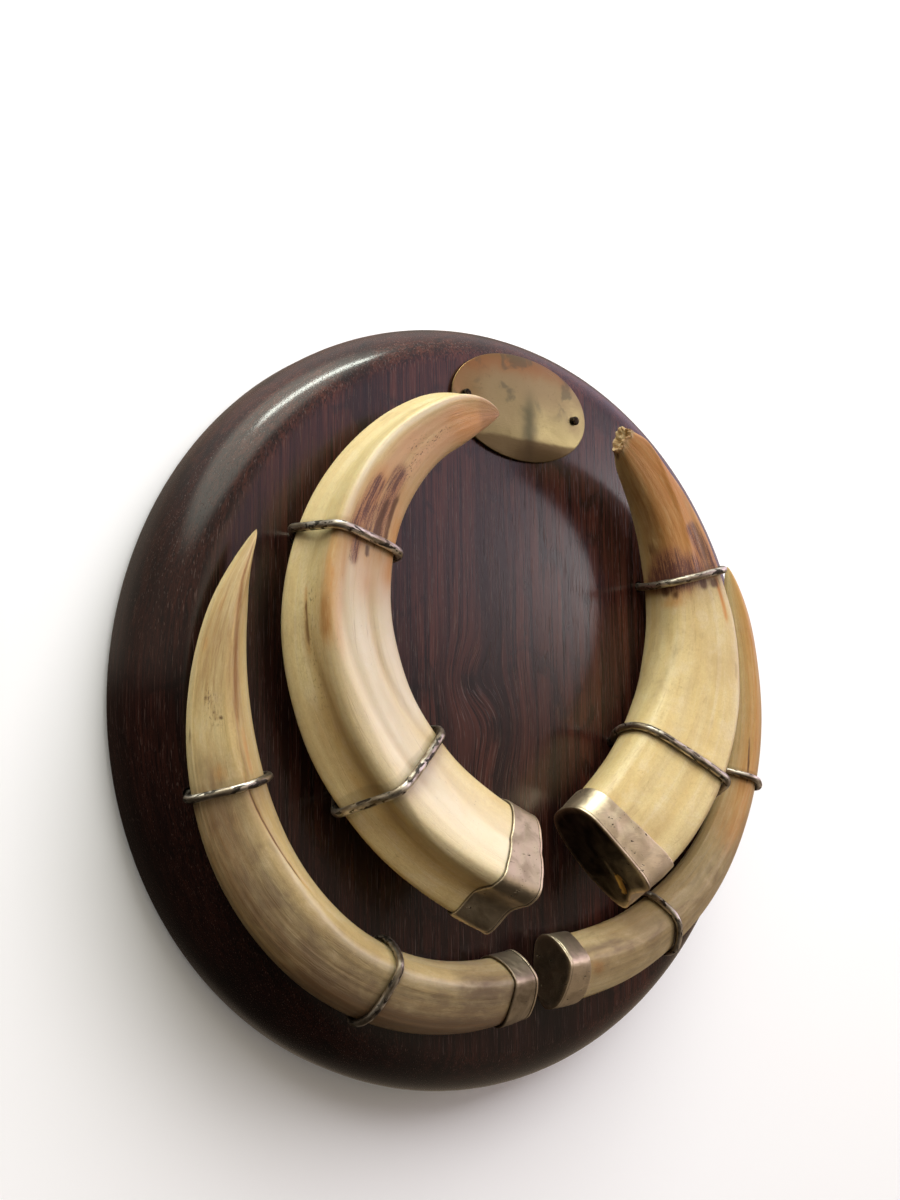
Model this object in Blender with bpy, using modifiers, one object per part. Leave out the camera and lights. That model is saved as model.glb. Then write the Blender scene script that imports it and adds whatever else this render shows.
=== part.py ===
"""Four warthog tusks mounted on a round hardwood wall plaque.

Two thick upper tusks face each other in the middle and two slender lower tusks
lie outside them. Every tusk has a silver cap on its cut root and is held down by
two silver wires, which go through the wood and are turned over in grooves at the
back. A small oval brass plate is pinned at the top.

Lengths are in millimetres, and MM turns them into Blender's metres. The plaque
hangs upright: its flat back is the plane y = 0 with the origin at its centre, the
tusks face -Y and +Z is up. A place on the face is (across, up), with across
counted from the middle towards the side that the tusk lies on.
"""

import math
import random
from dataclasses import dataclass

import bmesh
import bpy
from mathutils import Matrix, Vector

MM = 0.001

# The plaque: a turned disc with a wide rounded front edge and a small rounded back edge.
PLAQUE_RADIUS = 115.0
PLAQUE_THICKNESS = 27.0
FRONT_ROUND_WIDTH = 14.0
FRONT_ROUND_DEPTH = 19.5
BACK_ROUND = 2.5
PLAQUE_SEGMENTS = 56
FRONT_ROUND_STEPS = 5
BACK_ROUND_STEPS = 2

# Fits and clearances.
SURFACE_GAP = 0.35  # between a tusk and its cap, and between the brass plate and the wood
WIRE_GAP = 0.7
WIRE_BED = 1.5  # half the length of tusk under a wire, in radii of the wire
WIRE_HOLE_CLEARANCE = 0.5
CAP_WALL = 0.7
CAP_END_THICKNESS = 0.9
CAP_RIM_WAVE = 0.8  # the hand-cut rim wanders by this much, in two waves round the tusk
CAP_RIM_START = 1.0  # radians

# The wires' ends, turned over in grooves that are cut in the plaque's back.
HOLE_SEGMENTS = 8
GROOVE_DEPTH = 3.8
GROOVE_WIDTH = 3.6
GROOVE_END_ROOM = 1.5
WIRE_BELOW_BACK = 0.5
WIRE_BEND_RADIUS = 2.5
WIRE_TAIL = 7.0
WIRE_BEND_STEPS = 3
WIRE_ARC_STEP_DEG = 20

# The oval brass plate, tilted a little and bent back over the plaque's rounded edge.
PLATE_CENTRE = (5.0, 88.5)
PLATE_HALF_WIDTH = 26.5
PLATE_HALF_HEIGHT = 16.5
PLATE_TILT_DEG = -3.0
PLATE_THICKNESS = 0.8
PLATE_DOME = 1.2
PLATE_SEGMENTS = 32
PLATE_RINGS = (0.55, 1.0)
PIN_OFFSET = 21.5
PIN_HEAD_RADIUS = 1.4
PIN_HEAD_HEIGHT = 0.7
PIN_SHANK_RADIUS = 0.7
PIN_HEAD_ARC_DEG = (60, 30, 0)
PIN_DEPTH = 9.0
PIN_POINT = 1.5
PIN_CLEARANCE = 0.3
PIN_SEGMENTS = 10

# The keyhole in the back that a screw in the wall hangs the plaque by.
KEYHOLE_HEIGHT = 62.0  # the entry hole's centre above the plaque's centre
KEYHOLE_ENTRY_RADIUS = 5.0
KEYHOLE_NECK_WIDTH = 5.0
KEYHOLE_RISE = 12.0
KEYHOLE_DEPTH = 10.0
KEYHOLE_LIP = 3.5
KEYHOLE_ARC_STEPS = 7
OVERCUT = 1.0  # how far a cutter runs past the surface that it opens

# Tusk meshes.
RING_POINTS_PER_SPAN = 3
TUSK_RINGS = 16
TIP_CROWDING = 1.4  # over 1 puts the rings closer together towards the tip
LAST_RING = 0.998
TIP_ROUNDING = 0.12  # share of the length over which the tip closes
PATH_STEPS = 60  # short straight runs that a tusk's middle line is summed from
CHIP_RINGS = ((0.86, 1.6, 1.6), (0.45, 0.2, 0.8))  # size, way forward and roughness of each
CHIP_SEED = 7
SHARP_EDGE_DEG = 40

# Outlines across a tusk, in half widths outwards and half depths out from the face,
# from the inner back corner over the front to the outer back corner.
UPPER_SECTION = (
    (-0.80, -0.80),
    (-1.02, 0.00),
    (-0.86, 0.78),
    (0.00, 0.92),
    (0.84, 0.92),
    (0.92, 0.10),
    (1.15, -0.62),
    (0.20, -1.00),
)
LOWER_SECTION = (
    (-0.78, -0.82),
    (-1.00, -0.25),
    (-0.75, 0.50),
    (-0.28, 1.00),
    (0.35, 0.70),
    (0.88, 0.10),
    (0.92, -0.62),
    (0.10, -1.00),
)


@dataclass(frozen=True)
class Tusk:
    """One tusk. A row of four is read at the root, at each third of the length and at the tip."""

    name: str
    side: int  # -1 on the left of the plaque, +1 on the right
    section: tuple
    root: tuple  # place of the root's centre on the face
    length: float
    heading: tuple  # degrees from straight outwards, turning up
    height: tuple  # of the tusk's middle over the plaque's face
    width: tuple
    depth: tuple
    roll: tuple  # degrees, lifting the outer edge
    band: float  # how far the cap reaches along the tusk
    ties: tuple  # where the wires cross, as shares of the length
    wire_radius: float
    chipped: bool = False

    def middle(self, share):
        """Place on the face and heading in radians at this share of the length."""
        across, up = self.root
        run = self.length * share / PATH_STEPS
        for i in range(PATH_STEPS):
            angle = math.radians(four_point(self.heading, share * (i + 0.5) / PATH_STEPS))
            across += math.cos(angle) * run
            up += math.sin(angle) * run
        return across, up, math.radians(four_point(self.heading, share))

    def outline(self, share, grow=0.0):
        """The section there as (outwards, height over the face) pairs, grown by this much."""
        half_width = four_point(self.width, share) / 2
        half_depth = four_point(self.depth, share) / 2
        if share > 1 - TIP_ROUNDING and not self.chipped:
            into_tip = (share - 1 + TIP_ROUNDING) / TIP_ROUNDING
            closing = math.sqrt(max(0.0, 1 - into_tip**2))
            half_width *= closing
            half_depth *= closing
        turn = Matrix.Rotation(math.radians(four_point(self.roll, share)), 2)
        lift = Vector((0.0, four_point(self.height, share)))
        ring = [
            turn @ Vector((o * half_width, t * half_depth)) + lift
            for o, t in closed_curve(self.section, RING_POINTS_PER_SPAN)
        ]
        return grown(ring, grow)

    def in_space(self, share, pairs, forward=0.0):
        """Metres in space of (outwards, height) pairs at this share, moved on along the tusk."""
        across, up, angle = self.middle(share)
        along = Vector((math.cos(angle), math.sin(angle)))
        outwards = Vector((math.sin(angle), -math.cos(angle)))
        points = []
        for out, height in pairs:
            a, u = Vector((across, up)) + along * forward + outwards * out
            points.append(Vector((self.side * a, -PLAQUE_THICKNESS - height, u)) * MM)
        return points


UPPER_LEFT = Tusk(
    name="upper_tusk_left",
    side=-1,
    section=UPPER_SECTION,
    root=(21.8, -46.0),
    length=166.0,
    heading=(30, 65, 113, 174),
    height=(23.5, 12.5, 13.5, 18.0),
    width=(29.0, 28.5, 21.0, 13.0),
    depth=(23.5, 22.0, 20.0, 11.5),
    roll=(26, 10, 0, 9),
    band=8.5,
    ties=(0.245, 0.615),
    wire_radius=1.25,
)
UPPER_RIGHT = Tusk(
    name="upper_tusk_right",
    side=1,
    section=UPPER_SECTION,
    root=(19.0, -45.5),
    length=155.0,
    heading=(34, 61, 107, 160),
    height=(16.5, 15.5, 11.5, 22.0),
    width=(31.0, 30.5, 20.0, 10.5),
    depth=(22.5, 25.0, 19.5, 8.0),
    roll=(15, 16, 4, 9),
    band=8.5,
    ties=(0.25, 0.65),
    wire_radius=1.25,
    chipped=True,
)
LOWER_LEFT = Tusk(
    name="lower_tusk_left",
    side=-1,
    section=LOWER_SECTION,
    root=(7.3, -81.5),
    length=181.0,
    heading=(-7, 34, 78, 115),
    height=(9.5, 9.5, 9.0, 7.5),
    width=(18.0, 20.5, 18.0, 3.0),
    depth=(13.5, 15.5, 8.5, 9.5),
    roll=(3, 7, -13, 4),
    band=7.5,
    ties=(0.272, 0.645),
    wire_radius=1.1,
)
LOWER_RIGHT = Tusk(
    name="lower_tusk_right",
    side=1,
    section=LOWER_SECTION,
    root=(7.2, -79.5),
    length=177.5,
    heading=(-1, 35, 78, 106),
    height=(8.5, 8.0, 8.5, 7.0),
    width=(19.5, 18.5, 15.0, 6.0),
    depth=(14.5, 12.5, 9.5, 8.0),
    roll=(3, -6, -9, 3),
    band=7.5,
    ties=(0.26, 0.60),
    wire_radius=1.1,
)
TUSKS = (UPPER_LEFT, UPPER_RIGHT, LOWER_LEFT, LOWER_RIGHT)


# ---------------------------------------------------------------- curves


def four_point(values, share):
    """The cubic that passes through four values at shares 0, 1/3, 2/3 and 1."""
    x = 3 * share
    a, b, c, d = values
    return (
        a * (1 - x) * (2 - x) * (3 - x) / 6
        + b * x * (2 - x) * (3 - x) / 2
        + c * x * (x - 1) * (3 - x) / 2
        + d * x * (x - 1) * (x - 2) / 6
    )


def closed_curve(points, per_span):
    """A smooth closed curve through 2D points, as a list of pairs."""
    corners = [Vector(p) for p in points]
    count = len(corners)
    curve = []
    for i in range(count):
        p0, p1, p2, p3 = (corners[(i + k) % count] for k in (-1, 0, 1, 2))
        for step in range(per_span):
            t = step / per_span
            curve.append(
                0.5 * (2 * p1 + (p2 - p0) * t + (2 * p0 - 5 * p1 + 4 * p2 - p3) * t**2
                       + (3 * p1 - p0 - 3 * p2 + p3) * t**3)
            )
    return curve


def grown(ring, distance):
    """A closed 2D outline moved out along its own normals. It runs clockwise."""
    count = len(ring)
    moved = []
    for i, point in enumerate(ring):
        edge = ring[(i + 1) % count] - ring[i - 1]
        normal = Vector((-edge.y, edge.x)).normalized()
        moved.append(point + normal * distance)
    return moved


def on_plaque(across, up, height=0.0):
    """Metres in space of a place on the face, seen from the front, at this height over it."""
    return Vector((across, -PLAQUE_THICKNESS - height, up)) * MM


# ---------------------------------------------------------------- building


def clear_scene():
    for obj in list(bpy.data.objects):
        bpy.data.objects.remove(obj)


def make_collection(name):
    collection = bpy.data.collections.new(name)
    bpy.context.scene.collection.children.link(collection)
    return collection


def make_material(name, colour, roughness, metallic=0.0):
    material = bpy.data.materials.new(name)
    material.use_nodes = True
    shader = material.node_tree.nodes["Principled BSDF"]
    shader.inputs["Base Color"].default_value = (*colour, 1.0)
    shader.inputs["Roughness"].default_value = roughness
    shader.inputs["Metallic"].default_value = metallic
    return material


def add_mesh(name, mesh, collection, material=None):
    obj = bpy.data.objects.new(name, mesh)
    collection.objects.link(obj)
    if material:
        mesh.materials.append(material)
        mesh.shade_smooth()
        mesh.set_sharp_from_angle(angle=math.radians(SHARP_EDGE_DEG))
    return obj


def finish_mesh(name, shape, collection, material=None):
    """Turns a bmesh into an object whose faces point outwards."""
    bmesh.ops.recalc_face_normals(shape, faces=shape.faces)
    mesh = bpy.data.meshes.new(name)
    shape.to_mesh(mesh)
    shape.free()
    return add_mesh(name, mesh, collection, material)


def loft(name, rings, collection, material=None):
    """A closed solid through rings of equal count, with both ends filled."""
    shape = bmesh.new()
    loops = [[shape.verts.new(point) for point in ring] for ring in rings]
    for ring, following in zip(loops, loops[1:]):
        for i, vertex in enumerate(ring):
            j = (i + 1) % len(ring)
            shape.faces.new((vertex, ring[j], following[j], following[i]))
    shape.faces.new(loops[0])
    shape.faces.new(loops[-1])
    return finish_mesh(name, shape, collection, material)


def turned(name, profile, segments, collection, material=None):
    """A solid turned about its own Z axis from (radius, z) pairs that run from top to bottom."""
    shape = bmesh.new()
    vertices = [shape.verts.new((radius * MM, 0.0, z * MM)) for radius, z in profile]
    for upper, lower in zip(vertices, vertices[1:]):
        shape.edges.new((upper, lower))
    mesh = bpy.data.meshes.new(name)
    shape.to_mesh(mesh)
    shape.free()
    obj = add_mesh(name, mesh, collection, material)
    screw = obj.modifiers.new("turn", "SCREW")
    screw.steps = segments
    screw.render_steps = segments
    screw.use_merge_vertices = True
    screw.merge_threshold = 1e-5
    return obj


def make_cutter(obj):
    obj.hide_render = True
    obj.display_type = "WIRE"
    return obj


def cut(obj, cutter):
    boolean = obj.modifiers.new(cutter.name, "BOOLEAN")
    boolean.operation = "DIFFERENCE"
    boolean.object = cutter


# ---------------------------------------------------------------- tusks and caps


def build_tusk(tusk, collection, material):
    """The ivory itself, from its cut root to its tip."""
    band = tusk.band / tusk.length
    shares = [0.0, band / 2]
    for i in range(TUSK_RINGS):
        left = (1 - i / (TUSK_RINGS - 1)) ** TIP_CROWDING
        shares.append(LAST_RING - (LAST_RING - band) * left)
    rings = [tusk.in_space(share, tusk.outline(share)) for share in shares]
    if tusk.chipped:
        rings += chipped_end(tusk)
    return loft(tusk.name, rings, collection, material)


def chipped_end(tusk):
    """A broken tip: a ragged rim round a shallow pit, in place of a point."""
    chips = random.Random(CHIP_SEED)
    outline = tusk.outline(1.0)
    centre = sum(outline, Vector((0.0, 0.0))) / len(outline)
    rings = []
    for size, forward, roughness in CHIP_RINGS:
        ring = []
        for point in outline:
            step = forward + chips.uniform(-0.5, 0.5) * roughness
            inward = centre + (point - centre) * size
            ring += tusk.in_space(1.0, [inward], step)
        rings.append(ring)
    return rings


def build_cap(tusk, collection, material):
    """A silver cup over the root: a band with a wandering rim, closed by an end plate."""
    outer, inner = SURFACE_GAP + CAP_WALL, SURFACE_GAP
    half_band = tusk.band / 2
    end = -SURFACE_GAP - CAP_END_THICKNESS
    name = tusk.name.replace("tusk", "cap")

    def ring(along, grow, wave=0.0):
        share = max(along, 0.0) / tusk.length
        pairs = tusk.outline(share, grow)
        points = []
        for i, pair in enumerate(pairs):
            turn = 2 * math.pi * i / len(pairs)
            wander = wave * math.sin(2 * turn + CAP_RIM_START)
            points += tusk.in_space(share, [pair], min(along, 0.0) + wander)
        return points

    rings = [
        ring(end, outer),
        ring(0.0, outer),
        ring(half_band, outer),
        ring(tusk.band, outer, CAP_RIM_WAVE),
        ring(tusk.band, inner, CAP_RIM_WAVE),
        ring(half_band, inner),
        ring(-SURFACE_GAP, inner),
    ]
    return loft(name, rings, collection, material)


# ---------------------------------------------------------------- wires


def wire_over(tusk, share):
    """The wire's bent part over the tusk, as (outwards, height) pairs from the inner to the outer leg.

    A tight wire touches only what stands furthest out in each direction, so each
    point is the furthest one that way of the outlines under the wire's width,
    moved out by the wire's radius.
    """
    bed = WIRE_BED * tusk.wire_radius / tusk.length
    outline = [pair for step in (-bed, 0, bed) for pair in tusk.outline(share + step)]
    reach = tusk.wire_radius + WIRE_GAP
    pairs = []
    for degrees in range(180, -1, -WIRE_ARC_STEP_DEG):
        direction = Vector((math.cos(math.radians(degrees)), math.sin(math.radians(degrees))))
        furthest = max(outline, key=direction.dot)
        pairs.append(furthest + direction * reach)
    return pairs


def wire_leg(start, inwards, radius):
    """One leg from the tusk's side down through the wood, then turned over along the back."""
    back = -PLAQUE_THICKNESS + WIRE_BELOW_BACK + radius
    bend = WIRE_BEND_RADIUS
    pairs = [Vector((start.x, back + bend))]
    for step in range(1, WIRE_BEND_STEPS + 1):
        turn = math.radians(90 * step / WIRE_BEND_STEPS)
        pairs.append(
            Vector((start.x + inwards * bend * (1 - math.cos(turn)), back + bend * (1 - math.sin(turn))))
        )
    pairs.append(Vector((start.x + inwards * (bend + WIRE_TAIL), back)))
    return pairs


def build_tie(tusk, share, name, collection, material):
    """One wire with both legs, as a closed solid."""
    over = wire_over(tusk, share)
    inner_leg = wire_leg(over[0], 1, tusk.wire_radius)
    outer_leg = wire_leg(over[-1], -1, tusk.wire_radius)
    points = tusk.in_space(share, inner_leg[::-1] + over + outer_leg)
    curve = bpy.data.curves.new(name, "CURVE")
    curve.dimensions = "3D"
    curve.bevel_depth = tusk.wire_radius * MM
    curve.bevel_resolution = 2
    curve.use_fill_caps = True
    spline = curve.splines.new("POLY")
    spline.points.add(len(points) - 1)
    for target, point in zip(spline.points, points):
        target.co = (*point, 1.0)
    curve.materials.append(material)
    obj = bpy.data.objects.new(name, curve)
    collection.objects.link(obj)
    return obj


def tie_cutters(tusk, share, name, cutters):
    """Two drilled holes for the legs and the groove between them at the back."""
    over = wire_over(tusk, share)
    ends = tusk.in_space(share, [Vector((over[0].x, 0.0)), Vector((over[-1].x, 0.0))])
    across, up, angle = tusk.middle(share)
    outwards = Vector((tusk.side * math.sin(angle), 0.0, -math.cos(angle)))
    made = []
    for i, end in enumerate(ends):
        shape = bmesh.new()
        radius = tusk.wire_radius + WIRE_HOLE_CLEARANCE
        bmesh.ops.create_cone(
            shape, cap_ends=True, segments=HOLE_SEGMENTS, radius1=radius * MM, radius2=radius * MM,
            depth=2 * PLAQUE_THICKNESS * MM,
        )
        bmesh.ops.rotate(shape, verts=shape.verts, matrix=Matrix.Rotation(math.pi / 2, 3, "X"))
        bmesh.ops.translate(shape, verts=shape.verts, vec=(end.x, -PLAQUE_THICKNESS * MM / 2, end.z))
        made.append(finish_mesh(f"{name}_hole_{i}", shape, cutters))
    length = (ends[1] - ends[0]).length + 2 * (tusk.wire_radius + GROOVE_END_ROOM) * MM
    shape = bmesh.new()
    bmesh.ops.create_cube(shape, size=1.0)
    bmesh.ops.scale(shape, verts=shape.verts, vec=(length, 2 * GROOVE_DEPTH * MM, GROOVE_WIDTH * MM))
    tilt = -math.atan2(outwards.z, outwards.x)
    bmesh.ops.rotate(shape, verts=shape.verts, matrix=Matrix.Rotation(tilt, 3, "Y"))
    centre = (ends[0] + ends[1]) / 2
    bmesh.ops.translate(shape, verts=shape.verts, vec=(centre.x, 0.0, centre.z))
    made.append(finish_mesh(f"{name}_groove", shape, cutters))
    return [make_cutter(obj) for obj in made]


# ---------------------------------------------------------------- plaque and plate


def build_plaque(collection, material):
    """The turned disc, from the middle of its face round the edge to the middle of its back."""
    flat = PLAQUE_RADIUS - FRONT_ROUND_WIDTH
    profile = [(0.0, PLAQUE_THICKNESS)]
    for i in range(FRONT_ROUND_STEPS + 1):
        turn = math.pi / 2 * i / FRONT_ROUND_STEPS
        drop = FRONT_ROUND_DEPTH * (1 - math.cos(turn))
        profile.append((flat + FRONT_ROUND_WIDTH * math.sin(turn), PLAQUE_THICKNESS - drop))
    for i in range(BACK_ROUND_STEPS + 1):
        turn = math.pi / 2 * i / BACK_ROUND_STEPS
        inset = BACK_ROUND * (1 - math.cos(turn))
        profile.append((PLAQUE_RADIUS - inset, BACK_ROUND * (1 - math.sin(turn))))
    profile.append((0.0, 0.0))
    plaque = turned("plaque", profile, PLAQUE_SEGMENTS, collection, material)
    plaque.rotation_euler.x = math.pi / 2
    return plaque


def keyhole_cutter(cutters):
    """An entry hole with a neck rising from it, undercut for the screw's head."""
    parts = (
        ("entry", KEYHOLE_ENTRY_RADIUS, 0.0, 0.0),
        ("undercut", KEYHOLE_ENTRY_RADIUS, KEYHOLE_RISE, KEYHOLE_LIP),
        ("neck", KEYHOLE_NECK_WIDTH / 2, KEYHOLE_RISE, 0.0),
    )
    made = []
    for name, radius, rise, start in parts:
        low = -KEYHOLE_LIP - OVERCUT if name == "neck" else -KEYHOLE_DEPTH
        high = -start if start else OVERCUT
        shape = bmesh.new()
        outline = []
        for i in range(2 * KEYHOLE_ARC_STEPS):
            turn = math.pi * i / KEYHOLE_ARC_STEPS
            lift = rise if i <= KEYHOLE_ARC_STEPS else 0.0
            outline.append((radius * math.cos(turn), lift + radius * math.sin(turn)))
        loops = [
            [shape.verts.new(Vector((x, y, KEYHOLE_HEIGHT + z)) * MM) for x, z in outline]
            for y in (low, high)
        ]
        for i in range(len(outline)):
            j = (i + 1) % len(outline)
            shape.faces.new((loops[0][i], loops[0][j], loops[1][j], loops[1][i]))
        shape.faces.new(loops[0])
        shape.faces.new(loops[1])
        made.append(make_cutter(finish_mesh(f"keyhole_{name}", shape, cutters)))
    return made


def plate_height(across, up):
    """How far the plate's middle layer stands over the face: domed, and bent back past the flat."""
    share = (across / PLATE_HALF_WIDTH) ** 2 + (up / PLATE_HALF_HEIGHT) ** 2
    dome = PLATE_DOME * (1 - share)
    reach = math.hypot(across + PLATE_CENTRE[0], up + PLATE_CENTRE[1])
    over = max(0.0, reach - (PLAQUE_RADIUS - FRONT_ROUND_WIDTH)) / FRONT_ROUND_WIDTH
    drop = FRONT_ROUND_DEPTH * (1 - math.sqrt(max(0.0, 1 - over**2)))
    return SURFACE_GAP + PLATE_THICKNESS / 2 + dome - drop


def turned_on_face(across, up):
    tilt = math.radians(PLATE_TILT_DEG)
    return (
        across * math.cos(tilt) - up * math.sin(tilt),
        across * math.sin(tilt) + up * math.cos(tilt),
    )


def build_plate(collection, material):
    """A thin oval sheet with two pin holes to be cut."""
    shape = bmesh.new()

    def vertex(share, turn):
        across, up = turned_on_face(
            share * PLATE_HALF_WIDTH * math.cos(turn), share * PLATE_HALF_HEIGHT * math.sin(turn)
        )
        place = on_plaque(PLATE_CENTRE[0] + across, PLATE_CENTRE[1] + up, plate_height(across, up))
        return shape.verts.new(place)

    centre = vertex(0.0, 0.0)
    turns = [2 * math.pi * i / PLATE_SEGMENTS for i in range(PLATE_SEGMENTS)]
    loops = [[vertex(share, turn) for turn in turns] for share in PLATE_RINGS]
    for i in range(PLATE_SEGMENTS):
        j = (i + 1) % PLATE_SEGMENTS
        shape.faces.new((centre, loops[0][j], loops[0][i]))
        for inner, outer in zip(loops, loops[1:]):
            shape.faces.new((inner[i], inner[j], outer[j], outer[i]))
    plate = finish_mesh("nameplate", shape, collection, material)
    solidify = plate.modifiers.new("sheet", "SOLIDIFY")
    solidify.thickness = PLATE_THICKNESS * MM
    solidify.offset = 0.0
    return plate


def pin_places():
    """Where the two pins stand on the face, with the plate's height there."""
    for name, way in (("left", -1), ("right", 1)):
        across, up = turned_on_face(way * PIN_OFFSET, 0.0)
        yield name, PLATE_CENTRE[0] + across, PLATE_CENTRE[1] + up, plate_height(across, up)


def build_pin(name, across, up, height, collection, material):
    """A small round-headed pin, turned about its own axis and driven through the plate."""
    top = height + PLATE_THICKNESS / 2 + SURFACE_GAP
    head = [(0.0, top + PIN_HEAD_HEIGHT)]
    for degrees in PIN_HEAD_ARC_DEG:
        turn = math.radians(degrees)
        head.append((PIN_HEAD_RADIUS * math.cos(turn), top + PIN_HEAD_HEIGHT * math.sin(turn)))
    shank = [(PIN_SHANK_RADIUS, top), (PIN_SHANK_RADIUS, PIN_POINT - PIN_DEPTH), (0.0, -PIN_DEPTH)]
    pin = turned(f"nameplate_pin_{name}", head + shank, PIN_SEGMENTS, collection, material)
    pin.rotation_euler.x = math.pi / 2
    pin.location = on_plaque(across, up)
    return pin


def pin_cutter(name, across, up, cutters):
    shape = bmesh.new()
    radius = (PIN_SHANK_RADIUS + PIN_CLEARANCE) * MM
    depth = PIN_DEPTH + PIN_CLEARANCE + 2 * OVERCUT
    bmesh.ops.create_cone(
        shape, cap_ends=True, segments=PIN_SEGMENTS, radius1=radius, radius2=radius,
        depth=2 * depth * MM,
    )
    bmesh.ops.rotate(shape, verts=shape.verts, matrix=Matrix.Rotation(math.pi / 2, 3, "X"))
    centre = on_plaque(across, up, depth - PIN_DEPTH - PIN_CLEARANCE)
    bmesh.ops.translate(shape, verts=shape.verts, vec=centre)
    return make_cutter(finish_mesh(f"pin_hole_{name}", shape, cutters))


# ---------------------------------------------------------------- assembly


def main():
    clear_scene()
    parts = make_collection("mounted_warthog_tusks")
    cutters = make_collection("cutters")
    wood = make_material("dark_hardwood", (0.060, 0.018, 0.014), 0.32)
    ivory = make_material("tusk_ivory", (0.72, 0.58, 0.34), 0.35)
    silver = make_material("aged_silver", (0.62, 0.56, 0.52), 0.3, 1.0)
    brass = make_material("plate_brass", (0.66, 0.42, 0.17), 0.3, 1.0)
    steel = make_material("dark_pin", (0.10, 0.08, 0.06), 0.45, 1.0)

    plaque = build_plaque(parts, wood)
    for tusk in TUSKS:
        build_tusk(tusk, parts, ivory)
        build_cap(tusk, parts, silver)
        for place, share in zip(("root", "tip"), tusk.ties):
            name = tusk.name.replace("tusk", "tie") + "_" + place
            build_tie(tusk, share, name, parts, silver)
            for cutter in tie_cutters(tusk, share, name, cutters):
                cut(plaque, cutter)
    for cutter in keyhole_cutter(cutters):
        cut(plaque, cutter)
    plate = build_plate(parts, brass)
    for name, across, up, height in pin_places():
        build_pin(name, across, up, height, parts, steel)
        cutter = pin_cutter(name, across, up, cutters)
        cut(plaque, cutter)
        cut(plate, cutter)


main()
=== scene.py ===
"""Looks of a wall mount: four warthog tusks on a round hardwood plaque.

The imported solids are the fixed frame, and each of them is replaced by a finer piece
in the same place: the turned plaque, four tusks with their furrows and stains, a
silver cap on each root, two silver wires over each tusk, and an oval brass plate with
two pins. Lengths are in millimetres and MM turns them into Blender's metres. The
plaque hangs upright with its back on y = 0, the tusks face -Y and +Z is up.

A place on a tusk is (around, along). Along runs from 0 at the root to 1 at the tip.
Around runs from 0 at the inner back corner over the inner side (0.125), the front
(0.375), the front ridge (0.5) and the outer side (0.625) back to 1.
"""

import logging
import math
from contextlib import contextmanager
from dataclasses import dataclass
from enum import Enum
from typing import Callable, Iterator, Mapping, Optional, Sequence, Union

import bmesh
import bpy
import numpy as np
from mathutils import Matrix, Vector, noise


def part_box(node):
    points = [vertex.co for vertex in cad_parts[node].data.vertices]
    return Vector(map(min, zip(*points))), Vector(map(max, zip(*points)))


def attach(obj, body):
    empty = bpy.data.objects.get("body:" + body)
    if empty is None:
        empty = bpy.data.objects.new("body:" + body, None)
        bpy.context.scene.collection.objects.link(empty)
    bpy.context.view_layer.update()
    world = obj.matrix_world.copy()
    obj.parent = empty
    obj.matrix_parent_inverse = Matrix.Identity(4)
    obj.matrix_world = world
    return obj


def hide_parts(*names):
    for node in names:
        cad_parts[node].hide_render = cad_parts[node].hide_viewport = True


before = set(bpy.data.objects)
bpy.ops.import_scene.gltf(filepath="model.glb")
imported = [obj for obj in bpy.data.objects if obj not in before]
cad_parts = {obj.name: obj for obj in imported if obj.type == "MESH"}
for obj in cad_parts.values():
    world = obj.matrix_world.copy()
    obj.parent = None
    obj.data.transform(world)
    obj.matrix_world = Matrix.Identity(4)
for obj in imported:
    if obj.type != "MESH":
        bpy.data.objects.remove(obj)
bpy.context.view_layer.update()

MM = 0.001
BODY = "root"
# Metres within which corners are joined.
MERGE = 0.002 * MM
# Millimetres within which a place counts as on a plane.
NEAR = 0.01
# What bell-shaped falls are powers of.
FALL_BASE = 2.718
LOG = logging.getLogger("mounted_tusks")

Pair = tuple[float, float]
Point = tuple[float, float, float]
Colour = tuple[float, float, float]


def srgb(red: int, green: int, blue: int) -> Colour:
    """The linear colour of three bytes as a screen shows them."""
    return tuple(
        value / 12.92 if value <= 0.04045 else ((value + 0.055) / 1.055) ** 2.4
        for value in (red / 255, green / 255, blue / 255)
    )


# ---------------------------------------------------------------- shader writing


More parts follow.
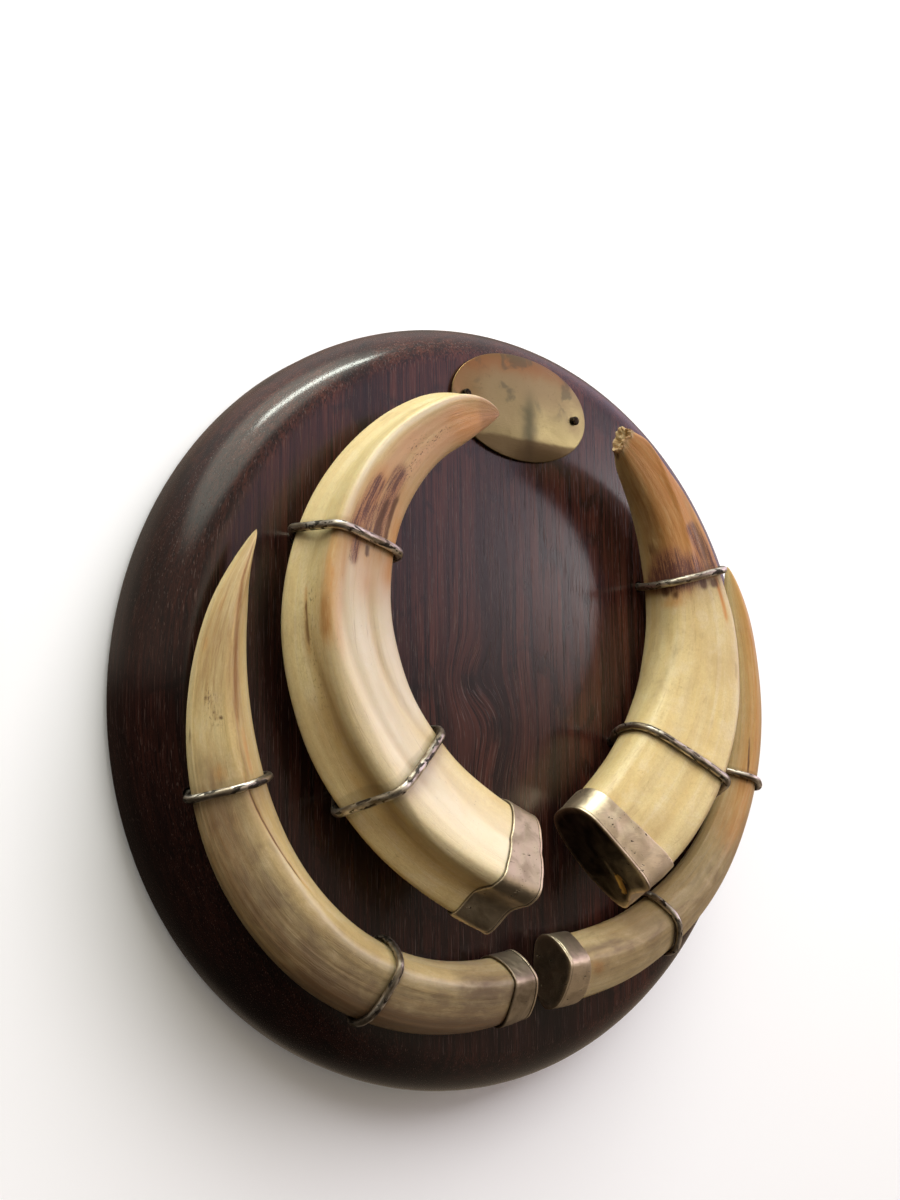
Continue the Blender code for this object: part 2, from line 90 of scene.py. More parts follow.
class Signal:
    """A node's output that can be written about as a number."""

    def __init__(self, tree: "Tree", socket: bpy.types.NodeSocket) -> None:
        """Keeps the tree that the socket is in, and the socket."""
        self.tree = tree
        self.socket = socket

    def __add__(self, other: "Number") -> "Signal":
        """The sum."""
        return self.tree.math("ADD", self, other)

    def __radd__(self, other: "Number") -> "Signal":
        """The sum, from the right."""
        return self.tree.math("ADD", other, self)

    def __sub__(self, other: "Number") -> "Signal":
        """The difference."""
        return self.tree.math("SUBTRACT", self, other)

    def __rsub__(self, other: "Number") -> "Signal":
        """The difference, from the right."""
        return self.tree.math("SUBTRACT", other, self)

    def __mul__(self, other: "Number") -> "Signal":
        """The product."""
        return self.tree.math("MULTIPLY", self, other)

    def __rmul__(self, other: "Number") -> "Signal":
        """The product, from the right."""
        return self.tree.math("MULTIPLY", other, self)

    def __truediv__(self, other: "Number") -> "Signal":
        """The quotient."""
        return self.tree.math("DIVIDE", self, other)

    def __rtruediv__(self, other: "Number") -> "Signal":
        """The quotient, from the right."""
        return self.tree.math("DIVIDE", other, self)

    def __pow__(self, other: "Number") -> "Signal":
        """The power."""
        return self.tree.math("POWER", self, other)

    def __rpow__(self, other: "Number") -> "Signal":
        """The power, from the right."""
        return self.tree.math("POWER", other, self)

    def between(self, low: float, high: float) -> "Signal":
        """Smoothly 0 at low and 1 at high. High may be the smaller one.

        Args:
            low: The value that becomes 0.
            high: The value that becomes 1.

        Returns:
            A signal that stays within 0 and 1.
        """
        settings = {"interpolation_type": "SMOOTHSTEP", "clamp": True}
        if low < high:
            return self.tree.node("ShaderNodeMapRange", settings, {0: self, 1: low, 2: high})
        return self.tree.node(
            "ShaderNodeMapRange", settings, {0: self, 1: high, 2: low, 3: 1.0, 4: 0.0}
        )

    def fall(self, speed: float = 1.0) -> "Signal":
        """1 where this is 0, and less and less as it grows."""
        return FALL_BASE ** (self * -speed)

    def varied(self, contrast: float) -> "Signal":
        """A pattern around 0.5 as a factor around 1."""
        return (self - 0.5) * contrast + 1.0


Number = Union[float, Signal]
Value = Union[float, Sequence[float], Signal]


class Tree:
    """A node tree that is being written, of a material or of the world."""

    def __init__(self, holder: Union[bpy.types.Material, bpy.types.World]) -> None:
        """Empties the holder's node tree and keeps it."""
        holder.use_nodes = True
        self.holder = holder
        self.nodes = holder.node_tree.nodes
        self.links = holder.node_tree.links
        self.nodes.clear()

    @classmethod
    def of_material(cls, name: str) -> "Tree":
        """The empty tree of a new material."""
        return cls(bpy.data.materials.new(name))

    def node(
        self,
        kind: str,
        settings: Optional[Mapping[str, object]] = None,
        inputs: Optional[Mapping[Union[int, str], Value]] = None,
        output: Union[int, str] = 0,
    ) -> Signal:
        """Adds one node.

        Args:
            kind: The node's type.
            settings: What is set on the node itself, before its sockets.
            inputs: Values or signals for its sockets, by index or name.
            output: The output socket that is handed on.

        Returns:
            The chosen output as a signal.
        """
        node = self.nodes.new(kind)
        for name, value in (settings or {}).items():
            setattr(node, name, value)
        for key, value in (inputs or {}).items():
            if isinstance(value, Signal):
                self.links.new(value.socket, node.inputs[key])
            elif isinstance(value, (int, float)):
                node.inputs[key].default_value = value
            else:
                room = len(node.inputs[key].default_value)
                node.inputs[key].default_value = (*value, 1.0)[:room]
        return Signal(self, node.outputs[output])

    def math(self, operation: str, first: Number, second: Number) -> Signal:
        """One Math node on two values."""
        return self.node("ShaderNodeMath", {"operation": operation}, {0: first, 1: second})

    def mix(self, factor: Number, first: Value, second: Value, blend: str = "MIX") -> Signal:
        """A colour between two colours.

        Args:
            factor: 0 for the first colour and 1 for the second.
            first: A linear colour or a signal.
            second: A linear colour or a signal.
            blend: How the second colour is laid over the first.

        Returns:
            The mixed colour.
        """
        settings = {"data_type": "RGBA", "blend_type": blend}
        return self.node("ShaderNodeMix", settings, {0: factor, 6: first, 7: second}, 2)

    def layered(self, colour: Value, *layers: tuple[Number, Value]) -> Signal:
        """Colours laid over each other.

        Args:
            colour: The lowest one.
            layers: For each further one its factor and the colour.

        Returns:
            The mixed colour.
        """
        for factor, over in layers:
            colour = self.mix(factor, colour, over)
        return colour

    def stretched(self, vector: Signal, scale: Sequence[float]) -> Signal:
        """A vector with each of its parts multiplied."""
        return self.node("ShaderNodeVectorMath", {"operation": "MULTIPLY"}, {0: vector, 1: scale})

    def noise(self, vector: Signal, scale: Sequence[float], detail: float = 2.0,
              distortion: float = 0.0, roughness: float = 0.5) -> Signal:
        """Cloudy noise around 0.5.

        Args:
            vector: The place that is read.
            scale: How often the pattern changes along each part of the vector.
            detail: How many finer layers lie over it.
            distortion: How far the layers push each other about.
            roughness: The weight of the finer layers.

        Returns:
            The noise's value.
        """
        place = self.stretched(vector, scale)
        inputs = {"Vector": place, "Scale": 1.0, "Detail": detail, "Roughness": roughness,
                  "Distortion": distortion}
        return self.node("ShaderNodeTexNoise", None, inputs)

    def attribute(self, name: str, output: str = "Fac") -> Signal:
        """A named attribute of the mesh."""
        return self.node("ShaderNodeAttribute", {"attribute_name": name}, None, output)

    def place_mm(self) -> Signal:
        """The place in the object's own coordinates, in millimetres."""
        place = self.node("ShaderNodeTexCoord", None, None, "Object")
        return self.stretched(place, (1 / MM, 1 / MM, 1 / MM))

    def parts(self, vector: Signal) -> tuple[Signal, Signal, Signal]:
        """The three parts of a vector."""
        first = self.node("ShaderNodeSeparateXYZ", None, {0: vector})
        outputs = first.socket.node.outputs
        return first, Signal(self, outputs[1]), Signal(self, outputs[2])

    def bump(self, height: Signal, depth: float) -> Signal:
        """A normal from a height between 0 and 1.

        Args:
            height: The height's signal.
            depth: What a height of 1 stands for, in millimetres.

        Returns:
            The bent normal.
        """
        inputs = {"Strength": 1.0, "Distance": depth * MM, "Height": height}
        return self.node("ShaderNodeBump", None, inputs)

    def surface(self, **sockets: Value) -> bpy.types.Material:
        """Ends the tree in a Principled shader.

        Args:
            sockets: The shader's sockets by name, with _ in place of a space.

        Returns:
            The finished material.
        """
        inputs = {name.replace("_", " "): value for name, value in sockets.items()}
        shader = self.node("ShaderNodeBsdfPrincipled", None, inputs)
        self.node_end("ShaderNodeOutputMaterial", shader)
        return self.holder

    def node_end(self, kind: str, shader: Signal) -> None:
        """Links a shader to a new output node."""
        output = self.nodes.new(kind)
        self.links.new(shader.socket, output.inputs["Surface"])


# ---------------------------------------------------------------- finishes


@dataclass(frozen=True)
class Ivory:
    """Polished tusk: cream dentine with honey bands, blushes, stains and soiled hollows, with
    painted highlights along the ridges and painted shade beside the wires and on the lower tusks.
    """

    cream: Colour = srgb(230, 210, 158)
    honey: Colour = srgb(220, 193, 134)
    pale: Colour = srgb(241, 227, 204)
    clay: Colour = srgb(182, 150, 102)
    blush: Colour = srgb(218, 172, 130)
    amber: Colour = srgb(208, 144, 74)
    tan: Colour = srgb(148, 104, 60)
    plum: Colour = srgb(86, 48, 50)
    rust: Colour = srgb(160, 104, 80)
    umber: Colour = srgb(92, 54, 28)
    grey: Colour = srgb(140, 120, 96)
    soil: Colour = srgb(70, 50, 32)

    def material(self) -> bpy.types.Material:
        """Builds the finish from the tusk's own straightened coordinates and painted attributes."""
        tree = Tree.of_material("tusk_ivory")
        grain = tree.attribute("grain", "Vector")
        bands = tree.noise(grain, (0.14, 0.14, 0.006), 2.0, 0.4)
        streaks = tree.noise(grain, (0.55, 0.55, 0.022), 3.0, 0.3)
        fibres = tree.noise(grain, (2.6, 2.6, 0.10), 3.0)
        clouds = tree.noise(grain, (0.05, 0.05, 0.03), 3.0)
        mottle = tree.noise(grain, (0.22, 0.22, 0.14), 4.0, 0.4, 0.6)
        rings = tree.noise(grain, (0.03, 0.03, 0.35), 3.0, 0.5)
        specks = tree.noise(grain, (1.7, 1.7, 1.1), 3.0)
        checks = tree.noise(grain, (0.45, 0.45, 0.016), 2.0, 0.5)
        grit = tree.noise(grain, (4.2, 4.2, 2.4), 2.0)
        smears = tree.noise(grain, (0.55, 0.55, 0.10), 4.0, 0.6, 0.65)
        drawn = tree.noise(grain, (1.8, 1.8, 0.15), 4.0, 0.15, 0.70)

        bruise = tree.attribute("plum")
        halo = (bruise * smears.varied(1.8)).between(0.05, 0.95)
        torn = drawn * 0.50 + fibres * 0.28 + grit * 0.22
        core = (bruise * torn.varied(8.5)).between(0.30, 1.45)
        peppered = specks.between(0.58, 0.65) * tree.attribute("pepper")
        dust = specks.between(0.66, 0.74) * clouds.between(0.40, 0.62)
        check = checks.between(0.485, 0.500) * checks.between(0.515, 0.500)
        hollow = tree.attribute("hollow").between(0.05, 0.9) * (0.3 + streaks * 0.8)
        # Dark joint grime at the cap's rim, and soil beside the wires that is partly painted shade
        # where the wire shades the tusk.
        rim = tree.attribute("from_rim").between(0.24, 0.02)
        wire = tree.attribute("from_wire").between(2.0, 0.8)
        dirt_and_wire_shade = rim * 0.55 + wire * (0.05 + clouds * 0.45)
        colour = tree.layered(
            self.honey,
            (bands.between(0.34, 0.66), self.cream),
            (streaks.between(0.54, 0.76) * 0.24, self.pale),
            (streaks.between(0.46, 0.28) * 0.14, self.clay),
            (rings.between(0.50, 0.72) * 0.12, self.clay),
            (clouds.between(0.48, 0.34) * 0.28, self.clay),
            (mottle.between(0.50, 0.68) * 0.22, self.clay),
            (mottle.between(0.48, 0.32) * 0.20, self.pale),
            (specks.between(0.40, 0.62) * 0.12, self.clay),
            (fibres.between(0.52, 0.30) * 0.09, self.clay),
            (grit.between(0.45, 0.65) * 0.16, self.clay),
            # Pale marks: paler dentine and painted highlights along the ridges.
            (tree.attribute("pale") * (0.5 + mottle * 0.8), self.pale),
            # Grey marks: grey grime and painted shade on the lower tusks.
            (self.ragged(tree, "grey", mottle, 1.2), self.grey),
            (self.ragged(tree, "blush", clouds, 3.0), self.blush),
            (self.ragged(tree, "amber", smears, 1.2), self.amber),
            (self.ragged(tree, "tan", smears, 1.3), self.tan),
            (halo * 0.62, self.rust),
            (core * 0.85, self.plum),
            (self.ragged(tree, "umber", smears, 3.0) * 0.85, self.umber),
            (peppered * 0.8, self.umber),
            (dust * 0.25, self.umber),
            (check * mottle.between(0.46, 0.62) * 0.22, self.tan),
            (hollow * 0.55, self.clay),
            (dirt_and_wire_shade.between(0.0, 1.0), self.soil),
        )
        height = fibres * 0.18 + streaks * 0.25 + grit * 0.6 + mottle * 0.8 - check * 0.3
        return tree.surface(
            Base_Color=colour,
            Roughness=0.36 + fibres * 0.10 + mottle * 0.14 + dirt_and_wire_shade * 0.15,
            Normal=tree.bump(height, 0.10),
            IOR=1.5,
            Subsurface_Weight=0.12,
            Subsurface_Radius=(1.0, 0.55, 0.25),
            Subsurface_Scale=1.2 * MM,
            Coat_Weight=0.15,
            Coat_Roughness=0.18,
        )

    @staticmethod
    def ragged(tree: Tree, name: str, pattern: Signal, contrast: float) -> Signal:
        """A painted mask that is broken up by a pattern.

        Args:
            tree: The tree that is being written.
            name: The mask's attribute.
            pattern: Noise around 0.5.
            contrast: How strongly the noise breaks the mask up.

        Returns:
            The mask, from 0 to 1.
        """
        return (tree.attribute(name) * pattern.varied(contrast)).between(0.15, 0.95)


@dataclass(frozen=True)
class Swirl:
    """A knot that the grain of the plaque's face bends around."""

    across: float
    up: float
    radius: float
    push: float


@dataclass(frozen=True)
class Hardwood:
    """Dark waxed hardwood with upright grain, fine open pores and a faint knot, painted darker
    towards the left and bottom as shade.
    """

    heart: Colour = (0.032, 0.0100, 0.0090)
    warm: Colour = (0.082, 0.0240, 0.0165)
    fibre: Colour = (0.150, 0.052, 0.038)
    night: Colour = (0.0060, 0.0034, 0.0034)
    wax: Colour = (0.120, 0.070, 0.058)
    swirls: tuple[Swirl, ...] = (
        Swirl(-15.5, 4.7, 9.0, 5.0),
        Swirl(-4.0, -9.0, 12.0, -4.0),
    )

    def material(self) -> bpy.types.Material:
        """Builds the finish from the plaque's own coordinates."""
        tree = Tree.of_material("dark_hardwood")
        across, depth, up = tree.parts(tree.place_mm())
        bent = across
        knots = up * 0.0
        for swirl in self.swirls:
            near = ((across - swirl.across) / swirl.radius) ** 2.0
            near = near + ((up - swirl.up) / swirl.radius) ** 2.0
            bent = bent + near.fall() * swirl.push
            knots = knots + near.fall(5.0)
        grain = tree.node("ShaderNodeCombineXYZ", None, {0: bent, 1: depth, 2: up})
        broad = tree.noise(grain, (0.050, 0.050, 0.004), 3.0, 0.4)
        figure = tree.noise(grain, (0.35, 1.1, 0.012), 4.0, 0.8, 0.6)
        lines = tree.noise(grain, (2.0, 4.5, 0.035), 3.0, 0.2, 0.6)
        pores = tree.noise(grain, (3.4, 3.4, 0.11), 2.0).between(0.60, 0.70)
        smudge = tree.noise(grain, (0.09, 0.09, 0.06), 4.0, 1.2)

        # Painted shade: the wood is darkened towards the left and the bottom.
        painted_shade_left_low = (across * -0.012 - up * 0.0096).between(0.15, 0.80)
        back = depth.between(-3.0, -1.0)
        flat_face = depth.between(-25.0, -26.8)
        colour = tree.layered(
            self.heart,
            (figure.between(0.36, 0.66), self.warm),
            (lines.between(0.50, 0.34) * 0.85, self.night),
            (lines.between(0.54, 0.72) * 0.38, self.fibre),
            (knots * smudge.between(0.30, 0.60) * 0.8, self.night),
            (broad.between(0.52, 0.34) * 0.6, self.night),
            (smudge.between(0.56, 0.70) * 0.6, self.night),
            (painted_shade_left_low * 0.6, self.night),
            (pores * figure.between(0.35, 0.60) * 0.55, self.wax),
        )
        return tree.surface(
            Base_Color=colour,
            Roughness=0.11 + flat_face * 0.08 + pores * 0.30 + lines * 0.08 + back * 0.30,
            Normal=tree.bump(lines * 0.5 - pores * 0.8 + figure * 0.4, 0.022),
            IOR=1.5,
        )


@dataclass(frozen=True)
class AgedSilver:
    """Handmade silver sheet, rubbed bright, with warm tarnish, scratches and dark joints, end
    plates painted dark as a reflection, and solder painted with golden glints.
    """

    bright: Colour = srgb(238, 220, 192)
    tarnish: Colour = srgb(142, 120, 94)
    joint: Colour = srgb(44, 36, 30)
    solder: Colour = srgb(196, 160, 92)

    def material(self) -> bpy.types.Material:
        """Builds the finish, with joints where the painted distance to an edge is small."""
        tree = Tree.of_material("aged_silver")
        place = tree.place_mm()
        clouds = tree.noise(place, (0.16, 0.16, 0.16), 4.0, 0.6)
        fine = tree.noise(place, (1.1, 1.1, 1.1), 3.0)
        scratches = tree.noise(place, (0.5, 0.5, 6.0), 3.0, 0.3)
        nick = tree.noise(place, (0.45, 0.45, 0.9), 2.0, 1.5).between(0.69, 0.74)

        joint = tree.attribute("from_edge").between(0.22, 0.02)
        dark = joint * (0.35 + fine * 0.7) + nick * 0.8
        # End plates painted near black as a dark reflection with tarnish; the bands are dulled
        # evenly.
        soot = tree.attribute("soot") * (0.65 + clouds * 0.7)
        # Solder colour, which also paints golden glints on the solder lump.
        solder_and_glints = tree.attribute("solder") * (fine * 2.0 + scratches)
        colour = tree.layered(
            self.bright,
            (clouds.between(0.44, 0.66) * 0.40, self.tarnish),
            (fine.between(0.62, 0.78) * 0.5, self.tarnish),
            (dark.between(0.0, 1.0), self.joint),
            (soot.between(0.0, 1.0), self.joint),
            (solder_and_glints.between(0.55, 0.80), self.solder),
        )
        height = fine * 0.25 + scratches * 0.35 + clouds * 1.8 - nick * 0.8
        return tree.surface(
            Base_Color=colour,
            Metallic=1.0,
            Roughness=0.32 + clouds * 0.16 + fine * 0.10 + dark * 0.25,
            Normal=tree.bump(height, 0.12),
        )


@dataclass(frozen=True)
class TieSilver:
    """Drawn silver wire, hammered a little flat, black in the hollows, and painted dark as shade on
    its side against the tusk.
    """

    bright: Colour = srgb(234, 226, 214)
    dull: Colour = srgb(156, 142, 124)
    black: Colour = srgb(34, 28, 26)

    def material(self) -> bpy.types.Material:
        """Builds the finish from the wire's straightened coordinates."""
        tree = Tree.of_material("silver_wire")
        wire = tree.attribute("grain", "Vector")
        clouds = tree.noise(wire, (0.5, 0.5, 0.22), 3.0, 0.4)
        blots = tree.noise(wire, (0.75, 0.75, 0.32), 3.0, 0.6)
        drawn = tree.noise(wire, (2.5, 2.5, 0.12), 2.0)

        dark = blots.between(0.51, 0.60)
        # Painted shade on the side of the wire that faces the tusk and the wood.
        tucked_side_shade = tree.attribute("hidden").between(0.35, 0.85)
        colour = tree.layered(
            self.dull,
            (clouds.between(0.35, 0.65), self.bright),
            (dark * clouds.between(0.32, 0.50) * 0.9, self.black),
            (tucked_side_shade * 0.8, self.black),
        )
        return tree.surface(
            Base_Color=colour,
            Metallic=1.0,
            Roughness=0.30 + blots * 0.20 + dark * 0.2,
            Normal=tree.bump(blots * -0.7 + clouds * 1.0 + drawn * 0.3, 0.10),
        )


@dataclass(frozen=True)
class PlateBrass:
    """Thin brass sheet, orange at the top, cream in the middle, with a greenish brown band below
    that is painted tarnish and a painted reflection.
    """

    gold: Colour = srgb(150, 138, 97)
    orange: Colour = srgb(150, 114, 74)
    olive_tarnish_and_reflection: Colour = srgb(100, 84, 60)
    grey: Colour = srgb(96, 96, 76)
    low_edge: float = 78.6
    grey_across: float = 7.4
    grey_half_width: float = 2.4

    def material(self) -> bpy.types.Material:
        """Builds the finish from the plate's place on the plaque."""
        tree = Tree.of_material("plate_brass")
        place = tree.place_mm()
        across, _, up = tree.parts(place)
        clouds = tree.noise(place, (0.13, 0.13, 0.13), 4.0, 0.5)
        fine = tree.noise(place, (1.2, 1.2, 1.2), 3.0)
        rubbed = tree.noise(place, (0.30, 0.3, 4.0), 3.0, 0.2)

        top = ((up + clouds * 7.0) / 100.0).between(0.97, 1.07)
        edge = top + (across / 10.0).between(-0.4, -2.0) * 0.7
        aside = (across - self.grey_across) / self.grey_half_width + (clouds - 0.5) * 2.0
        band = (aside * aside).fall() * (up / 100.0).between(0.97, 0.86)
        patch = clouds.between(0.54, 0.66) * (up / 100.0).between(0.84, 0.92)
        # Painted reflection: the lowest band of the plate, a dark reflection across the sheet, is
        # painted greenish brown.
        low = (up + clouds * 2.0 - 1.0 - self.low_edge).between(0.7, -0.7)
        colour = tree.layered(
            self.gold,
            (edge.between(0.0, 1.2), self.orange),
            (band * 0.75, self.grey),
            (patch * 0.6, self.grey),
            (low * 0.85, self.olive_tarnish_and_reflection),
            (fine.between(0.60, 0.75) * 0.25, self.olive_tarnish_and_reflection),
        )
        return tree.surface(
            Base_Color=colour,
            Metallic=1.0,
            Roughness=0.22 + clouds * 0.18 + band * 0.15 + low * 0.1,
            Normal=tree.bump(rubbed * 0.4 + clouds * 1.5, 0.08),
        )


@dataclass(frozen=True)
class DarkPin:
    """A small pin, nearly black with age and rubbed at the top."""

    black: Colour = srgb(34, 27, 20)
    worn: Colour = srgb(96, 78, 52)

    def material(self) -> bpy.types.Material:
        """Builds the finish."""
        tree = Tree.of_material("dark_pin")
        place = tree.place_mm()
        spots = tree.noise(place, (1.6, 1.6, 1.6), 3.0)
        colour = tree.mix(spots.between(0.5, 0.7), self.black, self.worn)
        return tree.surface(
            Base_Color=colour,
            Metallic=0.9,
            Roughness=0.35 + spots * 0.25,
            Normal=tree.bump(spots, 0.05),
        )


@dataclass(frozen=True)
class StagePaint:
    """Plain pale paint of the wall and the floor, with a trace of roller texture."""

    colour: Colour = (0.90, 0.90, 0.90)
    glow: float = 0.08

    def material(self, name: str, from_behind: bool) -> bpy.types.Material:
        """Builds the paint.

        Args:
            name: The material's name.
            from_behind: Whether the surface can be looked through from its back.

        Returns:
            The material.
        """
        tree = Tree.of_material(name)
        texture = tree.noise(tree.place_mm(), (0.3, 0.3, 0.3), 2.0)
        inputs = {
            "Base Color": self.colour,
            "Roughness": 0.75 + texture * 0.1,
            "Emission Color": self.colour,
            "Emission Strength": self.glow,
        }
        paint = tree.node("ShaderNodeBsdfPrincipled", None, inputs)
        if from_behind:
            clear = tree.node("ShaderNodeBsdfTransparent")
            behind = tree.node("ShaderNodeNewGeometry", None, None, "Backfacing")
            paint = tree.node("ShaderNodeMixShader", None, {0: behind, 1: paint, 2: clear})
        tree.node_end("ShaderNodeOutputMaterial", paint)
        return tree.holder


# ---------------------------------------------------------------- modelling


def only(piece: bpy.types.Object) -> None:
    """Selects one object alone and makes it the active one."""
    bpy.ops.object.select_all(action="DESELECT")
    piece.select_set(True)
    bpy.context.view_layer.objects.active = piece


@contextmanager
def editing(piece: bpy.types.Object, mode: str = "FACE") -> Iterator[None]:
    """Opens a piece in edit mode with nothing selected, and closes it at the end.

    Args:
        piece: The mesh object.
        mode: What is selected: VERT, EDGE or FACE.

    Yields:
        Nothing. Operators inside the block work on this piece.
    """
    only(piece)
    bpy.ops.object.mode_set(mode="EDIT")
    bpy.ops.mesh.select_mode(type=mode)
    bpy.ops.mesh.select_all(action="DESELECT")
    try:
        yield
    finally:
        bpy.ops.object.mode_set(mode="OBJECT")


def pick(piece: bpy.types.Object, kind: str, test: Callable[[Vector], bool]) -> None:
    """Selects what passes a test, on a piece that is open in edit mode.

    Args:
        piece: The mesh object.
        kind: "verts", "edges" or "faces".
        test: Says for a middle point, in millimetres, whether it is selected.
    """
    shape = bmesh.from_edit_mesh(piece.data)
    for element in getattr(shape, kind):
        if kind == "verts":
            middle = element.co
        elif kind == "edges":
            middle = (element.verts[0].co + element.verts[1].co) / 2
        else:
            middle = element.calc_center_median()
        if test(middle / MM):
            element.select_set(True)
    bmesh.update_edit_mesh(piece.data)


def apply_modifier(piece: bpy.types.Object, kind: str, **settings: object) -> None:
    """Puts a modifier on a piece and applies it.

    Args:
        piece: The mesh object.
        kind: The modifier's type.
        settings: The modifier's settings by name.
    """
    only(piece)
    modifier = piece.modifiers.new(kind.lower(), kind)
    for name, value in settings.items():
        setattr(modifier, name, value)
    bpy.ops.object.modifier_apply(modifier=modifier.name)


def settle(piece: bpy.types.Object) -> bpy.types.Object:
    """Moves the object's place, turn and scale into its mesh."""
    only(piece)
    bpy.ops.object.transform_apply(location=True, rotation=True, scale=True)
    return piece


def added(operator: Callable[..., object], **settings: object) -> bpy.types.Object:
    """Adds a primitive by its operator.

    Args:
        operator: One of bpy.ops.mesh.primitive_*_add.
        settings: What the operator is given.

    Returns:
        The new object, with its place in its mesh.
    """
    bpy.ops.object.select_all(action="DESELECT")
    operator(**settings)
    return settle(bpy.context.object)


def cut(piece: bpy.types.Object, cutter: bpy.types.Object) -> None:
    """Cuts one piece with another, which is then removed."""
    apply_modifier(piece, "BOOLEAN", operation="DIFFERENCE", solver="EXACT", object=cutter)
    bpy.data.objects.remove(cutter)


def smooth(piece: bpy.types.Object, degrees: float) -> None:
    """Shades a piece smooth apart from edges that turn by more than this."""
    only(piece)
    bpy.ops.object.shade_smooth_by_angle(angle=math.radians(degrees))


def round_off(width: float, steps: int) -> None:
    """Rounds the selected edges of the open piece, by a width in millimetres."""
    bpy.ops.mesh.bevel(
        offset=width * MM, segments=steps, profile=0.5, affect="EDGES", clamp_overlap=False
    )


def cylinder(radius: float, length: float, across: float, up: float, vertices: int = 24,
             middle: float = 0.0) -> bpy.types.Object:
    """A cylinder that stands on the face, as a piece or to cut a hole with.

    Args:
        radius: In millimetres.
        length: Along Y, in millimetres.
        across: Its place on the face.
        up: Its place on the face.
        vertices: Count around.
        middle: Y of the cylinder's middle.

    Returns:
        The cylinder.
    """
    return added(
        bpy.ops.mesh.primitive_cylinder_add,
        vertices=vertices, radius=radius * MM, depth=length * MM,
        location=(across * MM, middle * MM, up * MM), rotation=(math.pi / 2, 0.0, 0.0),
    )


def read(items: bpy.types.bpy_prop_collection, name: str, size: int) -> np.ndarray:
    """One property of every item, as rows of this many numbers."""
    flat = np.empty(len(items) * size, np.float32)
    items.foreach_get(name, flat)
    return flat.reshape(-1, size)


def rolled_sheet(name: str, surface: np.ndarray, shares: np.ndarray,
                 paint: Mapping[str, np.ndarray]) -> bpy.types.Object:
    """A grid that is rolled into a tube, with its seam joined and its ends drawn to a point.

    Args:
        name: The object's name.
        surface: Points in millimetres, as rows by count around by 3.
        shares: The second UV coordinate of each row.
        paint: Attributes by name, as rows by count around, with or without a last axis of 3.

    Returns:
        The closed mesh object.
    """
    rows, around = surface.shape[0] - 1, surface.shape[1]
    piece = added(
        bpy.ops.mesh.primitive_grid_add,
        x_subdivisions=around, y_subdivisions=rows, size=1.0, calc_uvs=True,
    )
    piece.name = name
    mesh = piece.data
    flat = read(mesh.vertices, "co", 3)
    turn = np.rint((flat[:, 0] + 0.5) * around).astype(int) % around
    row = np.rint((flat[:, 1] + 0.5) * rows).astype(int)
    mesh.vertices.foreach_set("co", (surface[row, turn] * MM).astype(np.float32).ravel())
    for label, values in paint.items():
        vector = values.ndim == 3
        layer = mesh.attributes.new(label, "FLOAT_VECTOR" if vector else "FLOAT", "POINT")
        data = values[row, turn].astype(np.float32)
        layer.data.foreach_set("vector" if vector else "value", data.ravel())
    uv = mesh.uv_layers.active.data
    pairs = read(uv, "uv", 2)
    pairs[:, 1] = shares[np.rint(pairs[:, 1] * rows).astype(int)]
    uv.foreach_set("uv", pairs.ravel())
    with editing(piece, "VERT"):
        bpy.ops.mesh.select_all(action="SELECT")
        bpy.ops.mesh.remove_doubles(threshold=MERGE)
        bpy.ops.mesh.normals_make_consistent(inside=False)
    return piece


def dress(piece: bpy.types.Object, node: str, material: bpy.types.Material) -> bpy.types.Object:
    """Names a finished piece, gives it its material and lets it stand for its node.

    Args:
        piece: The finished mesh object, with its place in its mesh.
        node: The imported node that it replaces.
        material: Its finish.

    Returns:
        The piece.
    """
    piece.name = f"{node}_look"
    piece.data.name = piece.name
    piece.data.materials.clear()
    piece.data.materials.append(material)
    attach(piece, BODY)
    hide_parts(node)
    piece.data.calc_loop_triangles()
    LOG.info("%s: %d triangles", piece.name, len(piece.data.loop_triangles))
    return piece


# ---------------------------------------------------------------- curves


def four_point(values: Sequence[float], share: np.ndarray) -> np.ndarray:
    """The cubic through four values at shares 0, 1/3, 2/3 and 1."""
    x = 3 * share
    a, b, c, d = values
    return (
        a * (1 - x) * (2 - x) * (3 - x) / 6
        + b * x * (2 - x) * (3 - x) / 2
        + c * x * (x - 1) * (3 - x) / 2
        + d * x * (x - 1) * (x - 2) / 6
    )


def closed_curve(points: Sequence[Pair], turns: np.ndarray) -> np.ndarray:
    """A smooth closed curve through 2D points.

    Args:
        points: The points that it passes through.
        turns: Where it is read, from 0 to 1 round the whole curve.

    Returns:
        One pair for each turn.
    """
    corners = np.array(points)
    count = len(corners)
    span = np.floor(turns * count).astype(int)
    t = (turns * count - span)[:, None]
    p0, p1, p2, p3 = (corners[(span + k) % count] for k in (-1, 0, 1, 2))
    return 0.5 * (
        2 * p1 + (p2 - p0) * t + (2 * p0 - 5 * p1 + 4 * p2 - p3) * t**2
        + (3 * p1 - p0 - 3 * p2 + p3) * t**3
    )


def grown(rings: np.ndarray, distance: Union[float, np.ndarray]) -> np.ndarray:
    """Closed clockwise outlines moved out along their own normals.

    Args:
        rings: Rows by count around by 2.
        distance: How far, as one number or as rows by count around.

    Returns:
        The moved outlines.
    """
    edge = np.roll(rings, -1, axis=1) - np.roll(rings, 1, axis=1)
    normal = np.stack([-edge[..., 1], edge[..., 0]], axis=-1)
    normal /= np.maximum(np.linalg.norm(normal, axis=-1, keepdims=True), 1e-9)
    return rings + normal * np.broadcast_to(distance, rings.shape[:2])[..., None]


def drawn_in(rings: np.ndarray, sizes: np.ndarray) -> np.ndarray:
    """Outlines drawn in to their own centres, to each row's size."""
    centres = rings.mean(axis=1, keepdims=True)
    return centres + (rings - centres) * sizes[:, None, None]


